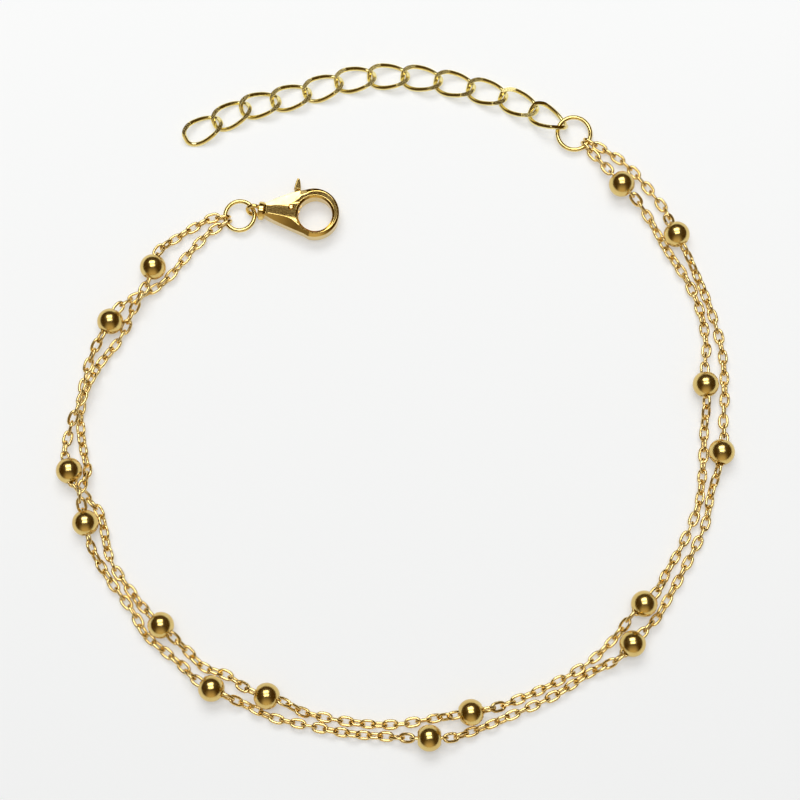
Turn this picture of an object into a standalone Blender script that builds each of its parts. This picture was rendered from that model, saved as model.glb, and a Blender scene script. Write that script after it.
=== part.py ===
"""Double chain anklet with ball beads, a lobster clasp and an extender chain.

The anklet lies open on a level surface at z = 0. Its clasp end is at the upper left, its extender at
the top. Lengths in the tables are millimetres and angles degrees, and MM turns them into metres.
"""

import math

import bmesh
import bpy
from mathutils import Matrix, Vector

MM = 0.001

# Moves the tables' frame so that the origin is under the middle of the finished anklet
CENTRE_SHIFT = (0.586, -0.023, 0.0)

# Driving sizes, in millimetres
BEAD_DIAMETER = 3.5
BEAD_HOLE_DIAMETER = 1.36
STRAND_DIAMETER = 1.1
STRAND_POINT_STEP = 2.8
STRAND_BEVEL_RESOLUTION = 2
CHAIN_HEIGHT = 0.58

FINE_LINK_LENGTH = 2.1
FINE_LINK_WIDTH = 1.44
FINE_LINK_WIRE = 0.32
FINE_LINK_ROUNDNESS = 2.5
FINE_LINK_HEIGHT = 0.74

RING_WIRE = 0.6
CLASP_RING_DIAMETER = 4.6
EXTENDER_RING_DIAMETER = 5.1
PLAY = 0.1
END_LINK_PLAY = 0.14
EXTENDER_HANG_PLAY = 0.22

CURB_LENGTH = 5.9
CURB_WIDTH = 3.7
CURB_WIRE = 0.62
CURB_TWIST = 42.0
CURB_ROUNDNESS = 3.0
CURB_HALF_THICKNESS = 0.76
CURB_PITCH = CURB_LENGTH - 2 * CURB_WIRE - PLAY

SHARP_ANGLE = 40.0
RING_SIDES = 16
WIRE_SIDES = 6
BEAD_SIDES = 14
BEAD_BANDS = 6

# Jump rings: centre x, y, height of the wire where the strands hang, height at the far side,
# and the direction of the far side seen from the centre
CLASP_RING = dict(x=-21.6, y=25.07, low=0.74, high=1.2, high_side=20.0)
EXTENDER_RING = dict(x=23.6, y=36.6, low=0.74, high=1.1, high_side=149.0)

# Beads: number, x, y, and the direction in which the chain runs through the hole
BEADS = {
    1: (-33.1, 17.8, 73.0),
    2: (-38.65, 10.35, 60.0),
    3: (-43.65, -9.8, 107.0),
    4: (-41.35, -16.75, 103.0),
    5: (-31.2, -30.2, 136.0),
    6: (-24.5, -38.4, 152.0),
    7: (-17.3, -39.4, 162.0),
    8: (3.8, -44.8, 180.0),
    9: (9.2, -41.5, 190.0),
    10: (30.3, -32.6, 227.0),
    11: (31.9, -27.4, 223.0),
    12: (42.5, -7.3, 258.0),
    13: (40.6, 1.8, 272.0),
    14: (37.15, 22.3, 297.0),
    15: (29.9, 29.3, 312.0),
}

# Strand routes from the extender ring to the clasp ring. A whole number is a bead of the table
# above, and a triple is a point of bare chain: x, y, height of the chain's middle.
LOW = CHAIN_HEIGHT
ROUTE_A = [
    15,
    (33.0, 25.7, LOW), (35.9, 20.4, LOW), (38.6, 16.0, LOW), (40.2, 11.9, LOW), (40.9, 7.0, LOW),
    13,
    (40.4, -3.9, LOW), (40.1, -9.0, LOW), (39.4, -14.2, LOW), (37.4, -19.0, LOW), (34.8, -23.6, LOW),
    11,
    (28.4, -31.4, LOW), (24.6, -35.0, LOW), (19.8, -37.8, LOW), (14.8, -40.0, LOW),
    9,
    (4.6, -42.2, LOW), (-0.6, -43.0, LOW), (-5.6, -42.8, LOW), (-12.6, -41.4, LOW),
    7,
    (-22.4, -36.7, LOW), (-25.7, -35.5, LOW), (-28.0, -33.2, LOW),
    5,
    (-35.2, -25.8, LOW), (-38.0, -21.6, LOW), (-39.0, -17.6, LOW), (-39.6, -15.3, LOW), (-41.0, -13.7, 0.65),
    (-42.0, -12.7, 0.95),
    3,
    (-43.9, -5.0, 1.0), (-43.2, -2.7, 1.75), (-42.3, -0.6, 1.9), (-41.3, 1.8, 1.75), (-40.1, 4.4, 0.95),
    (-37.4, 8.2, LOW), (-35.6, 12.0, 1.3), (-34.6, 13.9, 2.0),
    1,
    (-30.6, 21.6, LOW), (-27.2, 23.8, LOW),
]
ROUTE_B = [
    (30.6, 32.2, LOW), (33.6, 28.8, LOW), (36.0, 25.4, LOW),
    14,
    (40.0, 16.4, LOW), (41.8, 11.4, LOW), (43.0, 6.3, LOW), (43.2, 0.6, LOW), (42.9, -3.6, LOW),
    12,
    (41.1, -12.6, LOW), (40.2, -16.9, LOW), (37.3, -22.8, LOW), (34.8, -27.2, LOW), (33.5, -29.3, 0.75),
    10,
    (25.0, -36.2, LOW), (20.2, -39.2, LOW), (15.0, -41.6, LOW), (9.4, -43.9, LOW),
    8,
    (-1.2, -44.6, LOW), (-6.4, -44.2, LOW), (-11.6, -43.2, LOW), (-16.6, -42.1, LOW), (-20.4, -40.3, LOW),
    6,
    (-28.3, -35.5, LOW), (-31.6, -32.8, LOW), (-33.4, -31.2, LOW), (-34.8, -28.6, LOW), (-38.6, -23.4, LOW),
    4,
    (-42.0, -12.8, 2.5), (-41.6, -11.4, 1.9), (-41.3, -9.9, 0.8), (-41.8, -7.6, LOW), (-42.3, -4.8, LOW),
    (-42.4, -1.0, LOW),
    (-41.6, 4.4, LOW),
    2,
    (-35.6, 13.7, 0.75), (-33.8, 14.5, LOW), (-31.4, 16.2, LOW), (-27.9, 20.4, LOW),
]
BEAD_RUN = 0.5 * BEAD_DIAMETER + 0.3

# Direction in which each strand's end link leaves its jump ring
EXTENDER_RING_EXITS = dict(a=-48.0, b=-29.0)
CLASP_RING_EXITS = dict(a=184.0, b=208.0)

# Extender links from the free end to the jump ring: heading, roll about the link's own length, how
# far the link climbs to its next neighbour, and how far it is pushed towards it out of a tight chain
CURB_LINKS = [
    (28.5, 0.0, 0.0, 0.15), (28.0, 0.0, 0.0, 0.4), (13.5, 0.0, 0.0, 0.25), (15.0, 0.0, 0.0, 0.0),
    (20.0, 0.0, 0.0, 0.0), (10.0, 0.0, 0.0, 0.0), (0.0, 0.0, 0.0, 0.0), (-8.0, 0.0, 0.0, 0.0),
    (-13.0, 0.0, 0.0, 0.0), (-16.0, 0.0, 0.03, 0.0), (-25.0, 0.0, 0.14, 0.0), (-31.0, -20.0, 0.42, 0.0),
]

# Lobster clasp, in its own frame: origin at the middle of the hole, +X away from the eye, +Y to the
# thumb tab's side, z = 0 on its flat underside
CLASP_PLACE = dict(x=-11.4, y=24.92, heading=-6.5)
CLASP_THICKNESS = 2.8
CLASP_HOLE_RADIUS = 2.3
CLASP_RIM = dict(x=-0.15, y=0.2, radius=3.35)
CLASP_RIM_ARC = (-98.0, 116.0, 18)
CLASP_HOLE_BEVEL = 0.27
CLASP_TAPER_START = -3.2
CLASP_TAPER_END = 3.2
CLASP_TAPER = 0.2

# Flanks of the clasp's body on either side of the rim: x, y, and the width and depth of the bevel
CLASP_LOWER_FLANK = [
    (-6.9, -0.85, 0.30, 0.20), (-6.3, -1.12, 0.50, 0.28), (-5.4, -1.48, 0.80, 0.40),
    (-4.4, -1.82, 1.05, 0.50), (-3.3, -2.18, 1.10, 0.52), (-2.2, -2.52, 0.72, 0.48),
    (-1.3, -2.80, 0.50, 0.42),
]
CLASP_UPPER_FLANK = [
    (-2.4, 2.98, 0.75, 0.20), (-3.3, 2.62, 1.25, 0.33), (-4.4, 2.10, 1.40, 0.36),
    (-5.4, 1.56, 0.85, 0.24), (-6.3, 0.98, 0.35, 0.14), (-6.9, 0.68, 0.20, 0.10),
]

# Bevel of the rim: angle round it, width and depth
CLASP_RIM_BEVEL = [
    (-98.0, 0.48, 0.42), (-45.0, 0.36, 0.30), (0.0, 0.22, 0.14), (70.0, 0.24, 0.14), (116.0, 0.50, 0.20),
]

# Lever of the clasp: its finger fills the mouth between two arcs round the pivot, all but a gap
LEVER_PIVOT = dict(x=-3.3, y=0.55)
LEVER_GAP = 0.12
LEVER_INNER_REACH = 1.3
LEVER_OUTER_REACH = 3.6
LEVER_TUCK_RADIUS = 3.2
LEVER_STEP_X = -2.22
LEVER_HUB_RADIUS = 0.85
LEVER_HUB_ARC = (150.0, 340.0, 9)
LEVER_WEB = [
    (-2.1, 0.85), (-1.75, 1.75), (-2.1, 2.45), (-2.42, 3.42), (-2.98, 3.42), (-3.3, 2.6), (-3.75, 1.27),
]
LEVER_TAB_OUTLINE = [
    (-2.35, 3.27), (-2.42, 3.9), (-2.6, 4.6), (-2.75, 4.82), (-2.95, 4.82), (-3.07, 4.6),
    (-3.2, 3.9), (-3.28, 3.27),
]

# Heights between which the lever's plate and tab and the slot for them lie
LEVER_PLATE = (1.05, 1.75)
LEVER_TAB = (0.75, 2.05)
SLOT = (0.93, 1.87)
TAB_CHAMFER = 0.1

# Cuts in the body for the lever, as start, end and steps of arcs round the pivot
MOUTH_OUTER_ARC = (24.0, 64.0, 6)
MOUTH_HEEL_ANGLE = -10.0
MOUTH_TOP = 4.4
SLOT_OUTER_ARC = (-25.0, 103.0, 8)
SLOT_INNER_ARC = (128.0, 320.0, 9)
SLOT_HUB_GAP = 0.15

PIN_RADIUS = 0.3
PIN_HOLE_RADIUS = 0.4
PIN_SINK = 0.06
PIN_SIDES = 12
CUT_OVERRUN = 1.0

# Eye and turned neck at the clasp's narrow end: the neck's rows are x and radius
EYE = dict(x=-8.3, y=-0.1, z=1.3, radius=0.87, wire=0.56, tilt=60.0)
NECK = [(-7.72, 0.95), (-7.55, 1.26), (-7.0, 1.26), (-6.85, 0.85), (-6.2, 0.85)]

# Materials: colour, metallic value and roughness
FINISHES = {
    "bead_gold": ((0.80, 0.55, 0.18), 1.0, 0.10),
    "fine_chain_gold": ((0.85, 0.62, 0.28), 1.0, 0.18),
    "extender_gold": ((0.82, 0.68, 0.28), 1.0, 0.15),
    "clasp_gold": ((0.80, 0.60, 0.24), 1.0, 0.12),
}


def clear_scene():
    """Empties the file so that only the anklet is in it."""
    for item in list(bpy.data.objects):
        bpy.data.objects.remove(item, do_unlink=True)


def make_material(name):
    """Makes one of the metals in FINISHES."""
    colour, metallic, roughness = FINISHES[name]
    material = bpy.data.materials.new(name)
    material.use_nodes = True
    shader = material.node_tree.nodes["Principled BSDF"]
    shader.inputs["Base Color"].default_value = (*colour, 1.0)
    shader.inputs["Metallic"].default_value = metallic
    shader.inputs["Roughness"].default_value = roughness
    material.diffuse_color = (*colour, 1.0)
    return material


def heading_vector(degrees):
    """Level unit vector at an angle from +X."""
    return Vector((math.cos(math.radians(degrees)), math.sin(math.radians(degrees)), 0.0))


def placed(x, y, z, heading=0.0, roll=0.0, climb=0.0):
    """Matrix for a piece at x, y, z millimetres, rolled about its own X, tipped up and turned about Z."""
    turn = Matrix.Rotation(math.radians(heading), 4, "Z")
    lift = Matrix.Rotation(math.radians(-climb), 4, "Y")
    tip = Matrix.Rotation(math.radians(roll), 4, "X")
    return Matrix.Translation(Vector((x, y, z)) * MM) @ turn @ lift @ tip


def mesh_object(name, bm, material, matrix=None):
    """Turns a bmesh in millimetres into a smooth-shaded object in metres."""
    bmesh.ops.scale(bm, vec=(MM, MM, MM), verts=bm.verts)
    bmesh.ops.recalc_face_normals(bm, faces=bm.faces)
    mesh = bpy.data.meshes.new(name)
    bm.to_mesh(mesh)
    bm.free()
    mesh.shade_smooth()
    mesh.set_sharp_from_angle(angle=math.radians(SHARP_ANGLE))
    if material is not None:
        mesh.materials.append(material)
    item = bpy.data.objects.new(name, mesh)
    bpy.context.scene.collection.objects.link(item)
    if matrix is not None:
        item.matrix_world = matrix
    return item


def bridge(bm, loop_a, loop_b):
    """Joins two closed loops of vertices of the same length with quads."""
    count = len(loop_a)
    for i in range(count):
        j = (i + 1) % count
        bm.faces.new((loop_a[i], loop_a[j], loop_b[j], loop_b[i]))


def wire_loop(centres, wire_radius):
    """Closed wire along level centre points, with a hexagon as its section."""
    bm = bmesh.new()
    count = len(centres)
    sections = []
    for i, centre in enumerate(centres):
        along = (centres[(i + 1) % count] - centres[i - 1]).normalized()
        outward = Vector((along.y, -along.x, 0.0))
        section = []
        for k in range(WIRE_SIDES):
            angle = 2 * math.pi * k / WIRE_SIDES
            offset = outward * math.cos(angle) + Vector((0, 0, 1)) * math.sin(angle)
            section.append(bm.verts.new(centre + offset * wire_radius))
        sections.append(section)
    for i in range(count):
        bridge(bm, sections[i], sections[(i + 1) % count])
    return bm


def ring_mesh(outer_diameter, wire):
    """Plain round jump ring."""
    radius = 0.5 * (outer_diameter - wire)
    centres = [heading_vector(360.0 * i / RING_SIDES) * radius for i in range(RING_SIDES)]
    return wire_loop(centres, 0.5 * wire)


def oval_centres(length, width, wire, roundness):
    """Points round an oval link's wire, long way along X."""
    half_length = 0.5 * (length - wire)
    half_width = 0.5 * (width - wire)
    power = 2.0 / roundness
    centres = []
    for i in range(RING_SIDES):
        angle = 2 * math.pi * i / RING_SIDES
        across = math.copysign(abs(math.cos(angle)) ** power, math.cos(angle))
        up = math.copysign(abs(math.sin(angle)) ** power, math.sin(angle))
        centres.append(Vector((half_length * across, half_width * up, 0.0)))
    return centres


def fine_link_mesh():
    """Flat oval link of the fine chain."""
    centres = oval_centres(FINE_LINK_LENGTH, FINE_LINK_WIDTH, FINE_LINK_WIRE, FINE_LINK_ROUNDNESS)
    return wire_loop(centres, 0.5 * FINE_LINK_WIRE)


def curb_link_mesh():
    """Oval link twisted so that its neighbours lie flat, with both sides cut flat."""
    bm = wire_loop(oval_centres(CURB_LENGTH, CURB_WIDTH, CURB_WIRE, CURB_ROUNDNESS), 0.5 * CURB_WIRE)
    half_length = 0.5 * (CURB_LENGTH - CURB_WIRE)
    for vertex in bm.verts:
        share = max(-1.0, min(1.0, vertex.co.x / half_length))
        vertex.co.rotate(Matrix.Rotation(math.radians(-CURB_TWIST * share), 3, "X"))
    for side in (1.0, -1.0):
        cut = bmesh.ops.bisect_plane(
            bm, geom=bm.verts[:] + bm.edges[:] + bm.faces[:], dist=1e-6,
            plane_co=(0, 0, side * CURB_HALF_THICKNESS), plane_no=(0, 0, side), clear_outer=True)
        rim = [item for item in cut["geom_cut"] if isinstance(item, bmesh.types.BMEdge)]
        bmesh.ops.holes_fill(bm, edges=rim, sides=0)
    return bm


def bead_mesh():
    """Ball with a round hole along X."""
    radius = 0.5 * BEAD_DIAMETER
    hole = 0.5 * BEAD_HOLE_DIAMETER
    rim = math.asin(hole / radius)
    bm = bmesh.new()
    loops = []
    for i in range(BEAD_BANDS + 1):
        angle = rim + (math.pi - 2 * rim) * i / BEAD_BANDS
        across = radius * math.sin(angle)
        loop = []
        for k in range(BEAD_SIDES):
            turn = -0.5 * math.pi + 2 * math.pi * k / BEAD_SIDES
            loop.append(bm.verts.new((-radius * math.cos(angle), across * math.cos(turn),
                                      across * math.sin(turn))))
        loops.append(loop)
    for i in range(len(loops)):
        bridge(bm, loops[i], loops[(i + 1) % len(loops)])
    return bm


def ring_place(ring, diameter):
    """Centre, matrix and wire-circle radius of a jump ring that leans on what it joins."""
    radius = 0.5 * (diameter - RING_WIRE)
    lean = math.asin((ring["high"] - ring["low"]) / (2 * radius))
    middle = 0.5 * (ring["high"] + ring["low"])
    turn = Matrix.Rotation(math.radians(ring["high_side"]), 4, "Z")
    tip = Matrix.Rotation(-lean, 4, "Y")
    centre = Vector((ring["x"], ring["y"], middle))
    return centre, Matrix.Translation(centre * MM) @ turn @ tip, radius


def end_link_reach(ring_radius):
    """Distance from a jump ring's centre to the middle of a fine link hung on it."""
    inner = ring_radius - 0.5 * RING_WIRE - END_LINK_PLAY
    return inner - FINE_LINK_WIRE + 0.5 * FINE_LINK_LENGTH


def strand_ends(ring, diameter, exit_angle):
    """Middle of the end link, and the point and direction where the bare strand starts."""
    centre, _, radius = ring_place(ring, diameter)
    outward = heading_vector(exit_angle)
    reach = end_link_reach(radius)
    level = Vector((centre.x, centre.y, 0.0))
    link = level + outward * reach + Vector((0, 0, FINE_LINK_HEIGHT))
    start = level + outward * (reach + 0.5 * FINE_LINK_LENGTH + PLAY) + Vector((0, 0, FINE_LINK_HEIGHT))
    return link, start, outward


def route_knots(route, start, start_way, finish, finish_way):
    """Points and unit directions of a strand, straight through each bead."""
    knots = [(start, start_way)]
    for row in route:
        if isinstance(row, int):
            x, y, heading = BEADS[row]
            way = heading_vector(heading)
            centre = Vector((x, y, 0.5 * BEAD_DIAMETER))
            knots.append((centre - way * BEAD_RUN, way))
            knots.append((centre + way * BEAD_RUN, way))
        else:
            knots.append((Vector(row), None))
    knots.append((finish, finish_way))
    filled = []
    for i, (point, way) in enumerate(knots):
        if way is None:
            way = knots[i + 1][0] - knots[i - 1][0]
            way.z = 0.0
            way.normalize()
        filled.append((point, way))
    return filled


def hermite(knot_a, knot_b, share):
    """Point on the smooth curve between two knots."""
    point_a, way_a = knot_a
    point_b, way_b = knot_b
    span = (point_b - point_a).length
    s2, s3 = share * share, share * share * share
    return (point_a * (2 * s3 - 3 * s2 + 1) + way_a * span * (s3 - 2 * s2 + share)
            + point_b * (3 * s2 - 2 * s3) + way_b * span * (s3 - s2))


def smooth_path(knots, step):
    """Points about one step apart along the smooth curve through the knots."""
    points = [knots[0][0]]
    for knot_a, knot_b in zip(knots, knots[1:]):
        pieces = max(1, round((knot_b[0] - knot_a[0]).length / step))
        points += [hermite(knot_a, knot_b, (i + 1) / pieces) for i in range(pieces)]
    return points


def strand_path(name, route):
    """Middle line of one strand between its two end links."""
    _, start, start_way = strand_ends(EXTENDER_RING, EXTENDER_RING_DIAMETER, EXTENDER_RING_EXITS[name])
    _, finish, finish_way = strand_ends(CLASP_RING, CLASP_RING_DIAMETER, CLASP_RING_EXITS[name])
    return smooth_path(route_knots(route, start, start_way, finish, -finish_way), STRAND_POINT_STEP)


def make_strand(name, route, material):
    """One run of fine chain as a plain round tube."""
    points = strand_path(name, route)
    curve = bpy.data.curves.new("strand_" + name, "CURVE")
    curve.dimensions = "3D"
    curve.bevel_depth = 0.5 * STRAND_DIAMETER * MM
    curve.bevel_resolution = STRAND_BEVEL_RESOLUTION
    curve.use_fill_caps = True
    spline = curve.splines.new("POLY")
    spline.points.add(len(points) - 1)
    for spot, point in zip(spline.points, points):
        spot.co = (*(point * MM), 1.0)
    curve.materials.append(material)
    item = bpy.data.objects.new("strand_" + name, curve)
    bpy.context.scene.collection.objects.link(item)


def make_strand_end_links(name, material):
    """The fine links that hang a strand on its two jump rings, standing on edge."""
    ends = (("extender", EXTENDER_RING, EXTENDER_RING_DIAMETER, EXTENDER_RING_EXITS[name]),
            ("clasp", CLASP_RING, CLASP_RING_DIAMETER, CLASP_RING_EXITS[name]))
    for end, ring, diameter, exit_angle in ends:
        link, _, _ = strand_ends(ring, diameter, exit_angle)
        mesh_object("strand_%s_%s_link" % (name, end), fine_link_mesh(), material,
                    placed(*link, heading=exit_angle, roll=90.0))


def make_beads(material):
    """The ball beads where they lie."""
    for number, (x, y, heading) in BEADS.items():
        mesh_object("bead_%02d" % number, bead_mesh(), material,
                    placed(x, y, 0.5 * BEAD_DIAMETER, heading))


def make_jump_rings(material):
    """The ring at the clasp and the ring at the extender."""
    for name, ring, diameter in (("clasp_jump_ring", CLASP_RING, CLASP_RING_DIAMETER),
                                 ("extender_jump_ring", EXTENDER_RING, EXTENDER_RING_DIAMETER)):
        _, matrix, _ = ring_place(ring, diameter)
        mesh_object(name, ring_mesh(diameter, RING_WIRE), material, matrix)


def make_extender(material):
    """The curb links, laid back from the jump ring to the free end."""
    centre, _, radius = ring_place(EXTENDER_RING, EXTENDER_RING_DIAMETER)
    last_way = heading_vector(CURB_LINKS[-1][0])
    hang = radius - 0.5 * RING_WIRE - 0.5 * CURB_WIRE - EXTENDER_HANG_PLAY
    joint = centre - last_way * hang - last_way * 0.5 * (CURB_WIRE + PLAY)
    joint.z = CURB_HALF_THICKNESS + sum(rise for _, _, rise, _ in CURB_LINKS)
    for number in range(len(CURB_LINKS), 0, -1):
        heading, roll, rise, slack = CURB_LINKS[number - 1]
        climb = math.degrees(math.asin(rise / CURB_PITCH))
        way = heading_vector(heading) * math.cos(math.radians(climb)) + Vector((0.0, 0.0, rise / CURB_PITCH))
        joint = joint + way * slack
        middle = joint - way * 0.5 * CURB_PITCH
        mesh_object("extender_link_%02d" % number, curb_link_mesh(), material,
                    placed(*middle, heading, roll, climb))
        joint = joint - way * CURB_PITCH


def arc(x, y, radius, start, end, steps):
    """Points on an arc from one angle to another, ends included."""
    return [(x + radius * math.cos(math.radians(start + (end - start) * i / steps)),
             y + radius * math.sin(math.radians(start + (end - start) * i / steps)))
            for i in range(steps + 1)]


def inset(points, widths):
    """Moves each point of a closed outline inward, the outline running counterclockwise."""
    moved = []
    count = len(points)
    for i, (x, y) in enumerate(points):
        before, after = Vector(points[i - 1]), Vector(points[(i + 1) % count])
        here = Vector((x, y))
        side_a = (here - before).normalized()
        side_b = (after - here).normalized()
        inward = Vector((-side_a.y - side_b.y, side_a.x + side_b.x)).normalized()
        spread = max(0.5, inward.dot(Vector((-side_a.y, side_a.x))))
        moved.append(here + inward * widths[i] / spread)
    return moved


def prism(outline, low, high, chamfer=0.0):
    """Upright solid on a closed counterclockwise outline, its rims chamfered."""
    bm = bmesh.new()
    levels = [(low, 0.0), (high, 0.0)]
    if chamfer > 0.0:
        levels = [(low, chamfer), (low + chamfer, 0.0), (high - chamfer, 0.0), (high, chamfer)]
    loops = []
    for z, width in levels:
        ring = inset(outline, [width] * len(outline)) if width else [Vector(p) for p in outline]
        loops.append([bm.verts.new((p.x, p.y, z)) for p in ring])
    for loop_a, loop_b in zip(loops, loops[1:]):
        bridge(bm, loop_a, loop_b)
    bm.faces.new(loops[0])
    bm.faces.new(loops[-1])
    return bm


def clasp_place():
    """Matrix of the clasp's own frame."""
    return placed(CLASP_PLACE["x"], CLASP_PLACE["y"], 0.0, CLASP_PLACE["heading"])


def rim_bevel(angle):
    """Width and depth of the rim's bevel at an angle round it."""
    for (start, width_a, depth_a), (end, width_b, depth_b) in zip(CLASP_RIM_BEVEL, CLASP_RIM_BEVEL[1:]):
        if angle <= end:
            share = max(0.0, (angle - start) / (end - start))
            return width_a + (width_b - width_a) * share, depth_a + (depth_b - depth_a) * share
    return CLASP_RIM_BEVEL[-1][1:]


def clasp_outline():
    """Outer outline of the clasp with its bevel widths and depths, counterclockwise from the neck."""
    rim_points = arc(CLASP_RIM["x"], CLASP_RIM["y"], CLASP_RIM["radius"], *CLASP_RIM_ARC)
    start, end, steps = CLASP_RIM_ARC
    rim = [(x, y, *rim_bevel(start + (end - start) * i / steps)) for i, (x, y) in enumerate(rim_points)]
    rows = CLASP_LOWER_FLANK + rim + CLASP_UPPER_FLANK
    return [(x, y) for x, y, _, _ in rows], [width for _, _, width, _ in rows], [row[3] for row in rows]


def clasp_blank():
    """Bevelled teardrop with its round hole, before the mouth and the slot are cut."""
    outline, widths, slopes = clasp_outline()
    hole = [Vector(point).normalized() * CLASP_HOLE_RADIUS for point in outline]
    wide_hole = [point.normalized() * (CLASP_HOLE_RADIUS + CLASP_HOLE_BEVEL) for point in hole]
    narrow = inset(outline, widths)
    bm = bmesh.new()

    def loop(points, depths, top):
        heights = [CLASP_THICKNESS - depth if top else depth for depth in depths]
        return [bm.verts.new((p[0], p[1], z)) for p, z in zip(points, heights)]

    none = [0.0] * len(outline)
    hole_slopes = [CLASP_HOLE_BEVEL] * len(outline)
    loops = [loop(narrow, none, False), loop(outline, slopes, False), loop(outline, slopes, True),
             loop(narrow, none, True), loop(wide_hole, none, True), loop(hole, hole_slopes, True),
             loop(hole, hole_slopes, False), loop(wide_hole, none, False)]
    for i in range(len(loops)):
        bridge(bm, loops[i], loops[(i + 1) % len(loops)])
    middle = 0.5 * CLASP_THICKNESS
    for vertex in bm.verts:
        share = (vertex.co.x - CLASP_TAPER_START) / (CLASP_TAPER_END - CLASP_TAPER_START)
        scale = 1.0 - CLASP_TAPER * max(0.0, min(1.0, share))
        vertex.co.z = middle + (vertex.co.z - middle) * scale
    return bm


def cutter(name, bm):
    """Hidden solid in the clasp's frame that is cut from another."""
    item = mesh_object(name, bm, None, clasp_place())
    item.hide_render = True
    item.display_type = "WIRE"
    return item


def boolean(item, other, operation):
    """Adds a Boolean with another object."""
    step = item.modifiers.new(operation.lower(), "BOOLEAN")
    step.operation = operation
    step.solver = "EXACT"
    step.object = other


def circle_crossing(radius_a, radius_b, side):
    """Point at radius_a from the hole's middle and radius_b from the pivot."""
    px, py = LEVER_PIVOT["x"], LEVER_PIVOT["y"]
    span = math.hypot(px, py)
    along = (radius_a ** 2 - radius_b ** 2 + span ** 2) / (2 * span)
    off = math.sqrt(max(0.0, radius_a ** 2 - along ** 2)) * side
    ux, uy = px / span, py / span
    return Vector((ux * along - uy * off, uy * along + ux * off))


def angle_of(point, centre=(0.0, 0.0)):
    """Direction of a point from a centre, in degrees."""
    return math.degrees(math.atan2(point[1] - centre[1], point[0] - centre[0]))


def mouth_outline(gap):
    """Where the lever's finger lies in the clasp's ring, with a gap all round it.

    Without a gap it is the finger's own outline, past the ring's inner and outer surfaces.
    """
    pivot = (LEVER_PIVOT["x"], LEVER_PIVOT["y"])
    outer = LEVER_TUCK_RADIUS + gap
    step_x = LEVER_STEP_X - gap
    step_y = math.sqrt(outer ** 2 - step_x ** 2)
    corner = circle_crossing(outer, LEVER_INNER_REACH - gap, -1.0)
    points = arc(*pivot, LEVER_OUTER_REACH + gap, *MOUTH_OUTER_ARC)
    points += [(step_x, MOUTH_TOP)]
    points += arc(0.0, 0.0, outer, angle_of((step_x, step_y)), angle_of(corner), 3)
    points += arc(*pivot, LEVER_INNER_REACH - gap, angle_of(corner, pivot), MOUTH_HEEL_ANGLE, 6)[1:]
    return points


def slot_outline():
    """Room between the cheeks for the lever's hub, web and tab through its whole swing."""
    pivot = (LEVER_PIVOT["x"], LEVER_PIVOT["y"])
    outer = arc(*pivot, LEVER_OUTER_REACH, *SLOT_OUTER_ARC)
    return outer + arc(*pivot, LEVER_HUB_RADIUS + SLOT_HUB_GAP, *SLOT_INNER_ARC)


def lever_plate_outline():
    """Lever's hub with the web that carries the tab and the finger."""
    return LEVER_WEB + arc(LEVER_PIVOT["x"], LEVER_PIVOT["y"], LEVER_HUB_RADIUS, *LEVER_HUB_ARC)


def plug(radius, low, high):
    """Upright round plug at the lever's pivot."""
    last = 360.0 - 360.0 / PIN_SIDES
    outline = arc(LEVER_PIVOT["x"], LEVER_PIVOT["y"], radius, 0.0, last, PIN_SIDES - 1)
    return prism(outline, low, high)


def neck_mesh():
    """Turned neck and collar between the clasp's body and its eye."""
    bm = bmesh.new()
    loops = []
    for x, radius in NECK:
        loop = []
        for k in range(BEAD_SIDES):
            angle = 2 * math.pi * k / BEAD_SIDES
            loop.append(bm.verts.new((x, EYE["y"] + radius * math.cos(angle),
                                      0.5 * CLASP_THICKNESS + radius * math.sin(angle))))
        loops.append(loop)
    for loop_a, loop_b in zip(loops, loops[1:]):
        bridge(bm, loop_a, loop_b)
    bm.faces.new(loops[0])
    bm.faces.new(loops[-1])
    return bm


def eye_mesh():
    """Loop at the clasp's end, turned about the clasp's length so that the ring runs through it."""
    bm = ring_mesh(2 * EYE["radius"] + EYE["wire"], EYE["wire"])
    bmesh.ops.rotate(bm, verts=bm.verts, matrix=Matrix.Rotation(math.radians(EYE["tilt"]), 3, "X"))
    bmesh.ops.translate(bm, verts=bm.verts, vec=(EYE["x"], EYE["y"], EYE["z"]))
    return bm


def make_clasp_body(material):
    """Hook, cheeks, neck and eye of the lobster clasp as one casting."""
    body = mesh_object("clasp_body", clasp_blank(), material, clasp_place())
    through = (-CUT_OVERRUN, CLASP_THICKNESS + CUT_OVERRUN)
    boolean(body, cutter("cut_mouth", prism(mouth_outline(LEVER_GAP), *through)), "DIFFERENCE")
    boolean(body, cutter("cut_slot", prism(slot_outline(), *SLOT)), "DIFFERENCE")
    boolean(body, cutter("cut_pin_hole", plug(PIN_HOLE_RADIUS, *through)), "DIFFERENCE")
    boolean(body, cutter("join_neck", neck_mesh()), "UNION")
    boolean(body, cutter("join_eye", eye_mesh()), "UNION")


def make_clasp_lever(material):
    """Lever with hub, web, closing finger and thumb tab, its origin on the pin's axis."""
    lever = mesh_object("clasp_lever", clasp_blank(), material, clasp_place())
    through = (-CUT_OVERRUN, CLASP_THICKNESS + CUT_OVERRUN)
    boolean(lever, cutter("keep_finger", prism(mouth_outline(0.0), *through)), "INTERSECT")
    boolean(lever, cutter("join_plate", prism(lever_plate_outline(), *LEVER_PLATE)), "UNION")
    boolean(lever, cutter("join_tab", prism(LEVER_TAB_OUTLINE, *LEVER_TAB, TAB_CHAMFER)), "UNION")
    boolean(lever, cutter("cut_hub_hole", plug(PIN_HOLE_RADIUS, 0.0, CLASP_THICKNESS)), "DIFFERENCE")
    shift = Vector((LEVER_PIVOT["x"], LEVER_PIVOT["y"], 0.0)) * MM
    lever.data.transform(Matrix.Translation(-shift))
    lever.matrix_world = clasp_place() @ Matrix.Translation(shift)


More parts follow.
